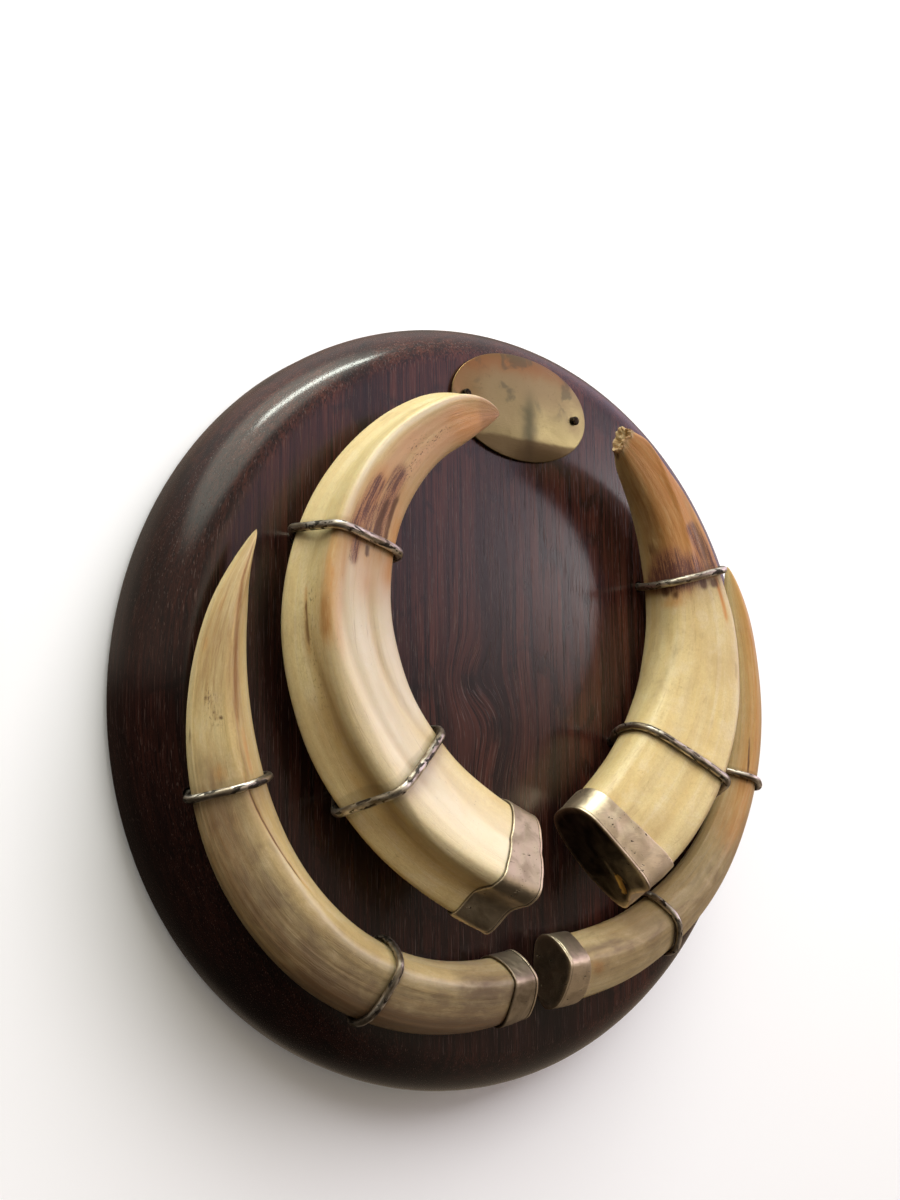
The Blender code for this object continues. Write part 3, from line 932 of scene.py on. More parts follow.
def full_turn(count: int) -> np.ndarray:
    """Even places round a closed outline, from 0 to just before 1."""
    return np.arange(count) / count


def smooth_step(low: float, high: float, value: np.ndarray) -> np.ndarray:
    """Smoothly 0 at low and 1 at high."""
    x = np.clip((value - low) / (high - low), 0.0, 1.0)
    return x * x * (3 - 2 * x)


@dataclass(frozen=True)
class Waves:
    """Seamless fine ridges along a tusk, as a sum of sines round it that drift along it."""

    seed: int
    fewest: int = 6
    most: int = 46
    drift: float = 1.6
    sway: float = 0.25
    sway_turn: float = 6.3
    fineness: float = -0.75

    def height(self, turn: np.ndarray, share: np.ndarray) -> np.ndarray:
        """The ridges' height, mostly within -1 and 1."""
        chance = np.random.default_rng(self.seed)
        total = np.zeros(np.broadcast(turn, share).shape)
        weight = 0.0
        for count in range(self.fewest, self.most, 3):
            size = count**self.fineness
            phase, slide, beat, lag = chance.uniform(0, 1, 4)
            sway = self.sway * np.sin(self.sway_turn * (beat * 2 * share + lag))
            wander = (slide - 0.5) * self.drift * share + sway
            total += size * np.sin(2 * math.pi * (count * turn + phase + wander))
            weight += size * size / 2
        return total / (2 * math.sqrt(weight))


@dataclass(frozen=True)
class Track:
    """A soft line on a tusk through (around, along) places from root to tip, or a spot at one.

    Its strength is a stain's share, or a furrow's depth in millimetres, which is negative
    on a ridge. Half width and fade say how fast it ends sideways and at its ends.
    """

    strength: float
    half_width: float
    fade: float
    path: tuple[Pair, ...]
    sharp: bool = False

    def weight(self, turn: np.ndarray, share: np.ndarray) -> np.ndarray:
        """How much of the line is at each place, from 0 to its strength.

        Args:
            turn: Places around the tusk.
            share: Places along the tusk.

        Returns:
            The weights, in the places' common shape.
        """
        turns, places = zip(*self.path)
        easing = (-0.03, -0.015, 0.0, 0.015, 0.03)
        centre = sum(np.interp(share + step, places, turns) for step in easing) / len(easing)
        aside = (turn - centre + 0.5) % 1.0 - 0.5
        past = np.maximum(np.maximum(places[0] - share, share - places[-1]), 0.0)
        fall = np.abs(aside / self.half_width)
        fall = fall if self.sharp else fall**2
        return self.strength * np.exp(-fall - (past / self.fade) ** 2)


class Stain(Enum):
    """The colours that are painted on a tusk, by their attribute's name."""

    # Paler dentine, and painted highlights along the ridges and on the brighter fronts.
    PALE = "pale"
    # Grey grime, and painted shade on the lower tusks where the upper ones shade them.
    GREY = "grey"
    BLUSH = "blush"
    TAN = "tan"
    AMBER = "amber"
    PLUM = "plum"
    UMBER = "umber"
    PEPPER = "pepper"


# ---------------------------------------------------------------- tusks


# Sections across a tusk, as (outwards, forward) shares of its half width and half depth.
UPPER_SECTION = ((-0.80, -0.80), (-1.02, 0.00), (-0.80, 0.69), (0.00, 0.92),
                 (0.84, 0.92), (0.92, 0.10), (1.15, -0.62), (0.20, -1.00))
LOWER_SECTION = ((-0.78, -0.82), (-1.00, -0.25), (-0.75, 0.50), (-0.28, 1.00),
                 (0.35, 0.70), (0.88, 0.10), (0.92, -0.62), (0.10, -1.00))
# How far the rows that close the root are drawn in, and those of a broken end.
ROOT_SIZES = (0.0, 0.6, 0.97)
BROKEN_SIZES = np.linspace(0.985, 0.0, 22)
# How far a broken end stands forward at each size.
BROKEN_END = ((0.0, -1.1), (0.34, -1.0), (0.66, -0.3), (0.84, 0.5), (0.95, 0.6), (1.0, 0.2))
# The broken end's relief: where it starts, its pit, its chipped rim and its crumbs.
CHIP_FROM = 0.985
PIT_SIZE = 0.3
CHIP_HEIGHT = 0.50
CRUMB_HEIGHT = 1.3
CRUMBS_ACROSS = 3.6
CRUMB_SLICE = 0.3
# Keeps the grain of one tusk apart from another's.
GRAIN_SHIFT = 40.0
# The height of the wave in a cap's rim, and where it starts.
CAP_RIM_WAVE = 0.55
CAP_RIM_START = 1.0
PLAQUE_THICKNESS = -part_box("plaque")[0].y / MM


@dataclass(frozen=True)
class Tusk:
    """One tusk. A row of four is read at the root, at each third of the length and at the tip."""

    name: str
    side: int
    section: tuple[Pair, ...]
    root: Pair
    length: float
    heading: tuple[float, ...]
    height: tuple[float, ...]
    width: tuple[float, ...]
    depth: tuple[float, ...]
    roll: tuple[float, ...]
    band: float
    ties: Pair
    wire_radius: float
    seed: int
    furrows: tuple[Track, ...]
    marks: Mapping[Stain, tuple[Track, ...]]
    chipped: bool = False
    chip_start: float = 0.93
    chip_taper: float = 0.24
    tip_rounding: float = 0.12
    tip_power: float = 0.5
    nose: float = 0.0
    ridge_height: float = 0.07
    swell_height: float = 0.10
    around: int = 176
    rows_along: int = 360
    tip_rows: int = 34
    nominal_radius: float = 12.0

    def middle(self, shares: np.ndarray) -> tuple[np.ndarray, np.ndarray, np.ndarray]:
        """The middle line.

        Args:
            shares: Places along the tusk.

        Returns:
            How far across and up the face each place is, and the heading there in radians.
        """
        fine = np.linspace(0.0, 1.0, 2001)
        angle = np.radians(four_point(self.heading, fine))
        run = self.length / (len(fine) - 1)
        steps = [(np.cos(angle), self.root[0]), (np.sin(angle), self.root[1])]
        sums = [
            start + run * np.concatenate([[0.0], np.cumsum((way[1:] + way[:-1]) / 2)])
            for way, start in steps
        ]
        across, up = (np.interp(shares, fine, line) for line in sums)
        return across, up, np.radians(four_point(self.heading, shares))

    def closing(self, shares: np.ndarray) -> np.ndarray:
        """How far the section has shrunk towards the tip, from 1 to 0."""
        if self.chipped:
            return 1 - self.chip_taper * smooth_step(self.chip_start, 1.0, shares) ** 2
        into_tip = np.clip((shares - 1 + self.tip_rounding) / self.tip_rounding, 0.0, 1.0)
        return np.maximum(1 - into_tip**2, 0.0) ** self.tip_power

    def rings(self, shares: np.ndarray, turns: np.ndarray, grow: float = 0.0,
              fine: bool = True) -> np.ndarray:
        """Outlines across the tusk, with their relief.

        Args:
            shares: Places along the tusk.
            turns: Places around it.
            grow: How far the outline is moved out.
            fine: Whether the fine ridges are in, and not only the furrows.

        Returns:
            Pairs of (outwards, height over the face), as shares by turns by 2.
        """
        closing = self.closing(shares)
        half_width = four_point(self.width, shares) / 2 * closing
        half_depth = four_point(self.depth, shares) / 2 * closing
        turn = np.radians(four_point(self.roll, shares))
        outline = closed_curve(self.section, turns)
        out = outline[None, :, 0] * half_width[:, None]
        front = outline[None, :, 1] * half_depth[:, None]
        cos, sin = np.cos(turn)[:, None], np.sin(turn)[:, None]
        lift = four_point(self.height, shares)[:, None]
        rings = np.stack([out * cos - front * sin, out * sin + front * cos + lift], axis=-1)
        relief = self.relief(turns[None, :], shares[:, None], fine)
        return grown(grown(rings, relief), grow)

    def relief(self, turn: np.ndarray, share: np.ndarray, fine: bool) -> np.ndarray:
        """How far the surface stands out from the plain section, in millimetres."""
        slim = np.sqrt(four_point(self.width, share) / max(self.width)) * self.closing(share)
        total = -self.hollow(turn, share)
        if fine:
            waves = Waves(self.seed)
            swell = Waves(self.seed + 1, 1, 6, 14.0)
            away = smooth_step(self.band / self.length, 2.5 * self.band / self.length, share)
            total = total + away * self.ridge_height * waves.height(turn, share)
            total = total + away * self.swell_height * swell.height(turn, share)
        return total * slim

    def hollow(self, turn: np.ndarray, share: np.ndarray) -> np.ndarray:
        """The furrows' depth, which is negative on a ridge."""
        total = np.zeros(np.broadcast(turn, share).shape)
        for furrow in self.furrows:
            total = total + furrow.weight(turn, share)
        return total

    def in_space(self, shares: np.ndarray, rings: np.ndarray,
                 forward: Union[float, np.ndarray] = 0.0) -> np.ndarray:
        """Points in space of outlines.

        Args:
            shares: Place along the tusk of each row.
            rings: Rows by count by 2.
            forward: How far the points are moved on along the tusk.

        Returns:
            Rows by count by 3, in millimetres.
        """
        across, up, angle = (line[:, None] for line in self.middle(shares))
        out, height = rings[..., 0], rings[..., 1]
        x = across + np.cos(angle) * forward + np.sin(angle) * out
        z = up + np.sin(angle) * forward - np.cos(angle) * out
        return np.stack([self.side * x, -PLAQUE_THICKNESS - height, z], axis=-1)

    def rim(self, turns: np.ndarray) -> np.ndarray:
        """Where the cap's hand-cut rim runs along the tusk, in millimetres from the root."""
        return self.band + CAP_RIM_WAVE * np.sin(4 * math.pi * turns + CAP_RIM_START)

    def rows(self) -> tuple[np.ndarray, np.ndarray, np.ndarray]:
        """The mesh's rows.

        Returns:
            Their shares of the length, how far each is drawn in to its centre (1 is not
            at all) and how far it stands past the end.
        """
        root = [(0.0, size, 0.0) for size in ROOT_SIZES]
        if self.chipped:
            body = np.linspace(0.0, 1.0, self.rows_along)
            rise = np.interp(BROKEN_SIZES, *zip(*BROKEN_END))
            end = [(1.0, size, past) for size, past in zip(BROKEN_SIZES, rise)]
        else:
            start = 1 - self.tip_rounding
            body = np.linspace(0.0, start, self.rows_along - self.tip_rows, endpoint=False)
            sweep = np.linspace(0.0, math.pi / 2, self.tip_rows)
            body = np.concatenate([body, start + self.tip_rounding * np.sin(sweep)])
            end = []
        rows = np.array(root + [(share, 1.0, 0.0) for share in body] + end)
        return rows[:, 0], rows[:, 1], rows[:, 2]

    def paint(self, turns: np.ndarray, shares: np.ndarray) -> dict[str, np.ndarray]:
        """The attributes that the ivory finish reads, as rows by count around."""
        turn, share = np.meshgrid(turns, shares)
        along = share * self.length
        outline = closed_curve(self.section, turns) * self.nominal_radius
        grain = np.empty((*turn.shape, 3))
        grain[..., 0] = outline[None, :, 0] + GRAIN_SHIFT * self.seed
        grain[..., 1] = outline[None, :, 1]
        grain[..., 2] = along
        nearest = np.min([np.abs(share - tie) for tie in self.ties], axis=0) * self.length
        layers = {
            "grain": grain,
            "from_rim": np.maximum(along - self.rim(turn), 0.0),
            "from_wire": np.maximum(nearest - self.wire_radius, 0.0),
            "hollow": np.clip(self.hollow(turn, share), 0.0, None),
        }
        for stain in Stain:
            total = np.zeros(turn.shape)
            for mark in self.marks.get(stain, ()):
                total = np.maximum(total, mark.weight(turn, share))
            layers[stain.value] = total
        return layers

    def build(self, material: bpy.types.Material) -> bpy.types.Object:
        """Models the tusk and dresses it in the ivory finish."""
        turns = full_turn(self.around)
        shares, sizes, past = self.rows()
        rings = drawn_in(self.rings(shares, turns), sizes)
        forward = np.broadcast_to(past[:, None], rings.shape[:2])
        forward = forward + self.nose * (1 - self.closing(shares))[:, None] ** 1.5
        if self.chipped:
            forward = forward + self.chips(turns, shares, sizes)
        surface = self.in_space(shares, rings, forward)
        piece = rolled_sheet(self.name, surface, shares, self.paint(turns, shares))
        smooth(piece, 60)
        return dress(piece, self.name, material)

    def chips(self, turns: np.ndarray, shares: np.ndarray, sizes: np.ndarray) -> np.ndarray:
        """How far the broken end's rim and pit stand forward, beyond their plain rows."""
        coarse = Waves(self.seed + 2, 2, 9, 0.0).height(turns[None, :], np.zeros((1, 1)))
        ways = [(math.cos(angle), math.sin(angle)) for angle in 2 * math.pi * turns]
        crumbs = np.array([
            [noise.noise(Vector((size * x, size * y, CRUMB_SLICE)) * CRUMBS_ACROSS)
             for x, y in ways]
            for size in sizes
        ])
        last = smooth_step(CHIP_FROM, 1.0, shares)[:, None]
        rough = smooth_step(0.0, PIT_SIZE, sizes)[:, None]
        return last * (rough * CHIP_HEIGHT * coarse + CRUMB_HEIGHT * crumbs)


def upper_left() -> Tusk:
    """The strongly curled upper tusk on the left."""
    crest = ((0.55, 0.0), (0.54, 0.15), (0.475, 0.25), (0.455, 0.35), (0.485, 0.45), (0.51, 0.55),
             (0.49, 0.65), (0.512, 0.75), (0.485, 0.86), (0.51, 0.95))
    return Tusk(
        name="upper_tusk_left",
        side=-1,
        section=UPPER_SECTION,
        root=(21.8, -46.0),
        length=166.0,
        heading=(30, 65, 113, 174),
        height=(23.5, 12.5, 13.5, 18.0),
        width=(29.0, 28.5, 21.0, 13.0),
        depth=(23.5, 22.0, 20.0, 11.5),
        roll=(26, 10, 0, 9),
        band=8.5,
        ties=(0.245, 0.615),
        wire_radius=1.25,
        tip_rounding=0.115,
        tip_power=0.62,
        nose=2.2,
        seed=11,
        furrows=(
            Track(-0.62, 0.035, 0.05, crest, sharp=True),
            Track(0.8, 0.030, 0.06, ((0.592, 0.22), (0.590, 0.27), (0.588, 0.33), (0.60, 0.40),
                                     (0.63, 0.45))),
            Track(0.7, 0.017, 0.05, ((0.41, 0.27), (0.422, 0.34), (0.431, 0.40), (0.45, 0.49))),
            Track(-0.3, 0.018, 0.05, ((0.35, 0.26), (0.356, 0.33), (0.376, 0.40), (0.378, 0.50))),
            Track(0.6, 0.016, 0.05, ((0.297, 0.26), (0.322, 0.34), (0.341, 0.40), (0.35, 0.50))),
            Track(0.28, 0.018, 0.05, ((0.46, 0.03), (0.445, 0.12), (0.415, 0.22))),
            Track(0.35, 0.016, 0.05, ((0.38, 0.03), (0.36, 0.12), (0.33, 0.22))),
            Track(0.7, 0.09, 0.03, ((0.43, 0.93), (0.43, 1.0))),
            Track(0.12, 0.012, 0.03, ((0.355, 0.64), (0.362, 0.74))),
            Track(0.35, 0.006, 0.02, ((0.644, 0.455), (0.634, 0.49), (0.644, 0.55))),
        ),
        marks={
            # Pale marks: paler dentine and painted highlights on the crest and the front flutes.
            Stain.PALE: (
                Track(0.95, 0.09, 0.05, ((0.42, 0.05), (0.40, 0.25), (0.40, 0.42), (0.41, 0.55))),
                Track(1.0, 0.08, 0.05, ((0.28, 0.32), (0.28, 0.54))),
                Track(0.85, 0.016, 0.05, ((0.49, 0.64), (0.495, 0.72), (0.475, 0.86),
                                          (0.50, 0.95))),
            ),
            Stain.BLUSH: (
                Track(0.85, 0.060, 0.05, ((0.43, 0.62), (0.41, 0.72), (0.40, 0.88))),
                Track(0.85, 0.13, 0.06, ((0.31, 0.56), (0.30, 0.70), (0.29, 1.0))),
                Track(0.45, 0.030, 0.04, ((0.478, 0.46), (0.47, 0.50), (0.455, 0.55),
                                          (0.466, 0.62))),
            ),
            Stain.TAN: (
                Track(0.22, 0.08, 0.04, ((0.25, 0.80), (0.27, 0.90), (0.30, 1.0))),
                Track(0.60, 0.20, 0.02, ((0.36, 0.96), (0.40, 1.0))),
                Track(0.16, 0.05, 0.04, ((0.23, 0.64), (0.21, 0.80), (0.21, 0.92))),
                Track(0.28, 0.025, 0.03, ((0.385, 0.70), (0.380, 0.78), (0.395, 0.86))),
                Track(0.42, 0.040, 0.018, ((0.532, 0.480), (0.518, 0.515))),
                Track(0.40, 0.030, 0.06, ((0.60, 0.16), (0.59, 0.24), (0.588, 0.33), (0.60, 0.42))),
            ),
            Stain.AMBER: (
                Track(0.75, 0.15, 0.06, ((0.36, 0.92), (0.40, 1.0))),
                Track(0.66, 0.060, 0.045, ((0.528, 0.485), (0.514, 0.53), (0.500, 0.60))),
                Track(0.36, 0.085, 0.06, ((0.575, 0.36), (0.56, 0.45), (0.53, 0.56), (0.50, 0.66))),
                Track(0.50, 0.045, 0.03, ((0.470, 0.555), (0.460, 0.60))),
                Track(0.50, 0.09, 0.03, ((0.35, 0.59), (0.335, 0.65), (0.35, 0.72))),
                Track(0.60, 0.06, 0.04, ((0.43, 0.61), (0.42, 0.70))),
                Track(0.60, 0.06, 0.03, ((0.27, 0.57), (0.26, 0.66))),
                Track(0.60, 0.011, 0.012, ((0.640, 0.455), (0.634, 0.49), (0.641, 0.53))),
                # A warmer outer side near the root: stain and painted shade.
                Track(0.34, 0.14, 0.06, ((0.63, 0.0), (0.62, 0.20), (0.61, 0.36))),
            ),
            Stain.PLUM: (
                Track(1.05, 0.033, 0.020, ((0.440, 0.625), (0.430, 0.66), (0.418, 0.695))),
                Track(1.10, 0.038, 0.020, ((0.352, 0.625), (0.354, 0.68), (0.364, 0.735))),
                Track(0.80, 0.045, 0.02, ((0.392, 0.62), (0.395, 0.66))),
                Track(1.0, 0.018, 0.012, ((0.428, 0.580), (0.424, 0.61))),
            ),
            Stain.UMBER: (
                Track(1.20, 0.010, 0.02, ((0.312, 0.625), (0.322, 0.69))),
                Track(1.25, 0.012, 0.02, ((0.352, 0.625), (0.356, 0.67))),
                Track(0.95, 0.010, 0.005, ((0.372, 0.590), (0.385, 0.600))),
                Track(1.2, 0.006, 0.010, ((0.637, 0.470), (0.634, 0.49), (0.638, 0.51))),
            ),
            Stain.PEPPER: (
                Track(1.1, 0.016, 0.02, ((0.335, 0.75), (0.352, 0.82), (0.360, 0.87))),
                Track(1.0, 0.014, 0.01, ((0.395, 0.78), (0.385, 0.81))),
                Track(0.6, 0.030, 0.03, ((0.62, 0.40), (0.61, 0.52))),
            ),
        },
    )


def upper_right() -> Tusk:
    """The upper tusk on the right, amber above and with a broken tip."""
    return Tusk(
        name="upper_tusk_right",
        side=1,
        section=UPPER_SECTION,
        root=(19.0, -45.5),
        length=155.0,
        heading=(34, 61, 107, 160),
        height=(16.5, 15.5, 11.5, 22.0),
        width=(31.0, 30.5, 20.0, 10.5),
        depth=(22.5, 25.0, 19.5, 8.0),
        roll=(15, 16, 4, 9),
        band=8.5,
        ties=(0.25, 0.65),
        wire_radius=1.25,
        chipped=True,
        seed=12,
        furrows=(
            Track(0.32, 0.018, 0.05, ((0.43, 0.06), (0.416, 0.136), (0.406, 0.22), (0.40, 0.34))),
            Track(0.28, 0.016, 0.05, ((0.344, 0.05), (0.341, 0.128), (0.344, 0.23), (0.33, 0.36))),
            Track(0.22, 0.016, 0.05, ((0.30, 0.05), (0.287, 0.111), (0.275, 0.20))),
            Track(-0.35, 0.018, 0.05, ((0.51, 0.0), (0.515, 0.09), (0.491, 0.155), (0.487, 0.25),
                                       (0.50, 0.44), (0.51, 0.56))),
            Track(-0.40, 0.020, 0.04, ((0.347, 0.67), (0.369, 0.713), (0.388, 0.782),
                                       (0.422, 0.854), (0.50, 0.94))),
            Track(0.50, 0.03, 0.04, ((0.43, 0.66), (0.435, 0.72), (0.46, 0.80), (0.52, 0.88))),
            Track(-1.3, 0.13, 0.07, ((0.14, 0.72), (0.14, 0.90))),
        ),
        marks={
            # Pale marks: painted highlights along the front ridges, partly paler dentine.
            Stain.PALE: (
                Track(0.4, 0.016, 0.03, ((0.355, 0.69), (0.388, 0.782), (0.422, 0.854),
                                         (0.50, 0.93))),
                Track(0.6, 0.02, 0.04, ((0.51, 0.40), (0.51, 0.58))),
            ),
            Stain.GREY: (Track(0.4, 0.04, 0.08, ((0.20, 0.36), (0.25, 0.48))),),
            Stain.TAN: (
                Track(0.50, 0.22, 0.012, ((0.20, 0.665), (0.20, 0.80), (0.23, 0.92), (0.28, 1.0))),
                Track(0.40, 0.10, 0.03, ((0.50, 0.68), (0.55, 0.90))),
                Track(1.0, 0.26, 0.022, ((0.20, 0.650), (0.30, 0.652))),
                Track(0.65, 0.90, 0.006, ((0.25, 1.0),)),
            ),
            Stain.AMBER: (
                Track(0.85, 0.36, 0.02, ((0.38, 0.66), (0.46, 0.98))),
                Track(0.9, 0.012, 0.02, ((0.455, 0.57), (0.45, 0.63))),
                Track(0.6, 0.10, 0.02, ((0.20, 0.60), (0.30, 0.635))),
            ),
            Stain.PLUM: (
                Track(1.35, 0.042, 0.014, ((0.45, 0.665), (0.435, 0.70), (0.415, 0.745))),
                Track(1.75, 0.17, 0.040, ((0.25, 0.668),)),
                Track(1.25, 0.10, 0.034, ((0.22, 0.70),)),
                Track(0.95, 0.20, 0.012, ((0.25, 0.662), (0.38, 0.662))),
            ),
            Stain.UMBER: (
                Track(0.6, 0.05, 0.022, ((0.15, 0.74),)),
                Track(0.95, 0.030, 0.014, ((0.184, 0.630),)),
                Track(0.85, 0.022, 0.012, ((0.237, 0.618),)),
                Track(0.95, 0.026, 0.012, ((0.381, 0.632),)),
                Track(0.9, 0.03, 0.010, ((0.44, 0.630),)),
                Track(0.8, 0.06, 0.012, ((0.08, 0.99),)),
            ),
            Stain.PEPPER: (Track(0.9, 0.90, 0.004, ((0.25, 1.0),)),),
        },
    )


def lower_left() -> Tusk:
    """The slender lower tusk on the left."""
    return Tusk(
        name="lower_tusk_left",
        side=-1,
        section=LOWER_SECTION,
        root=(7.3, -81.5),
        length=181.0,
        heading=(-7, 34, 78, 115),
        height=(9.5, 9.5, 9.0, 7.5),
        width=(18.0, 20.5, 18.0, 3.0),
        depth=(13.5, 15.5, 8.5, 9.5),
        roll=(3, 7, -13, 4),
        band=7.5,
        ties=(0.272, 0.645),
        wire_radius=1.1,
        nose=2.4,
        seed=13,
        furrows=(
            Track(-0.50, 0.055, 0.04, ((0.397, 0.70), (0.412, 0.78), (0.425, 0.833),
                                       (0.456, 0.881), (0.494, 0.932),
                                       (0.516, 0.988)), sharp=True),
            Track(0.15, 0.010, 0.03, ((0.338, 0.76), (0.341, 0.835), (0.384, 0.895),
                                      (0.456, 0.961))),
            Track(0.40, 0.013, 0.04, ((0.297, 0.48), (0.331, 0.586), (0.356, 0.64))),
            Track(-0.25, 0.030, 0.06, ((0.372, 0.03), (0.388, 0.18), (0.384, 0.30), (0.388, 0.362),
                                       (0.35, 0.438), (0.335, 0.52))),
        ),
        marks={
            # Pale mark: a painted highlight along the front ridge.
            Stain.PALE: (
                Track(0.5, 0.024, 0.05, ((0.372, 0.05), (0.388, 0.18), (0.384, 0.30),
                                         (0.388, 0.362), (0.35, 0.438), (0.33, 0.53))),
            ),
            # Grey marks: painted shade on the root's top under the upper cap and down the lower
            # body, partly grey grime.
            Stain.GREY: (
                Track(0.85, 0.16, 0.05, ((0.42, 0.0), (0.42, 0.12))),
                Track(0.95, 0.14, 0.08, ((0.62, 0.0), (0.60, 0.36))),
                Track(0.72, 0.22, 0.12, ((0.56, 0.0), (0.55, 0.30), (0.53, 0.60))),
            ),
            Stain.BLUSH: (Track(0.45, 0.03, 0.05, ((0.36, 0.78), (0.39, 0.88), (0.46, 0.96))),),
            Stain.TAN: (
                Track(0.55, 0.26, 0.08, ((0.50, 0.80), (0.50, 1.0))),
                Track(0.60, 0.026, 0.006, ((0.441, 0.740), (0.500, 0.758), (0.530, 0.772))),
                Track(0.75, 0.050, 0.04, ((0.33, 0.76), (0.34, 0.84), (0.38, 0.90), (0.45, 0.97))),
                # A browner outer side: stain and painted shade.
                Track(0.52, 0.20, 0.08, ((0.68, 0.0), (0.68, 0.30), (0.64, 0.60))),
                Track(0.5, 0.022, 0.02, ((0.33, 0.66), (0.35, 0.74))),
            ),
            Stain.AMBER: (
                Track(0.50, 0.013, 0.03, ((0.338, 0.74), (0.341, 0.835), (0.384, 0.895),
                                          (0.456, 0.965))),
                Track(0.30, 0.14, 0.05, ((0.50, 0.56), (0.50, 0.70))),
                Track(0.55, 0.026, 0.02, ((0.30, 0.67), (0.303, 0.715))),
                Track(0.55, 0.05, 0.02, ((0.481, 0.67),)),
                Track(0.5, 0.03, 0.02, ((0.578, 0.835),)),
                Track(0.5, 0.03, 0.02, ((0.547, 0.893),)),
                Track(0.50, 0.018, 0.03, ((0.30, 0.48), (0.331, 0.586), (0.356, 0.64))),
            ),
            Stain.UMBER: (
                Track(0.9, 0.012, 0.003, ((0.441, 0.740),)),
                Track(0.8, 0.014, 0.003, ((0.480, 0.748),)),
                Track(0.8, 0.020, 0.004, ((0.520, 0.766),)),
                Track(0.6, 0.02, 0.012, ((0.64, 0.72),)),
                Track(1.1, 0.007, 0.02, ((0.300, 0.50), (0.331, 0.586), (0.352, 0.63))),
            ),
            Stain.PEPPER: (Track(0.7, 0.04, 0.012, ((0.46, 0.742), (0.53, 0.77))),),
        },
    )


def lower_right() -> Tusk:
    """The slender lower tusk on the right."""
    return Tusk(
        name="lower_tusk_right",
        side=1,
        section=LOWER_SECTION,
        root=(7.2, -79.5),
        length=177.5,
        heading=(-1, 35, 78, 106),
        height=(8.5, 8.0, 8.5, 7.0),
        width=(19.5, 18.5, 15.0, 6.0),
        depth=(14.5, 12.5, 9.5, 8.0),
        roll=(3, -6, -9, 3),
        band=7.5,
        ties=(0.26, 0.60),
        wire_radius=1.1,
        nose=2.0,
        seed=14,
        furrows=(
            Track(-0.22, 0.030, 0.05, ((0.378, 0.0), (0.33, 0.075), (0.319, 0.20), (0.34, 0.40))),
            Track(0.20, 0.012, 0.04, ((0.30, 0.60), (0.33, 0.72), (0.37, 0.86))),
        ),
        marks={
            # Grey marks: painted shade where the upper tusk shades this one, partly grey grime.
            Stain.GREY: (
                Track(0.70, 0.06, 0.03, ((0.30, 0.05), (0.30, 0.12))),
                Track(0.55, 0.25, 0.10, ((0.35, 0.03), (0.40, 0.25), (0.40, 0.46))),
            ),
            Stain.BLUSH: (Track(0.4, 0.08, 0.08, ((0.50, 0.45), (0.50, 0.95))),),
            Stain.TAN: (
                Track(0.40, 0.050, 0.010, ((0.41, 0.058), (0.46, 0.066))),
                Track(0.30, 0.20, 0.08, ((0.46, 0.10), (0.50, 0.42))),
            ),
            Stain.AMBER: (
                Track(0.48, 0.060, 0.018, ((0.38, 0.058), (0.46, 0.066))),
                Track(0.62, 0.26, 0.08, ((0.33, 0.50), (0.36, 0.70), (0.42, 0.95))),
            ),
            Stain.UMBER: (
                Track(1.0, 0.010, 0.015, ((0.331, 0.60), (0.31, 0.63), (0.291, 0.665))),
            ),
        },
    )


# ---------------------------------------------------------------- caps


# Millimetres to a joint, where none is near.
FAR = 9.0
# How far the rows of the end plate are drawn in, from its middle out.
END_PLATE_SIZES = (0.0, 0.15, 0.3, 0.45, 0.6, 0.75, 0.88, 0.96)


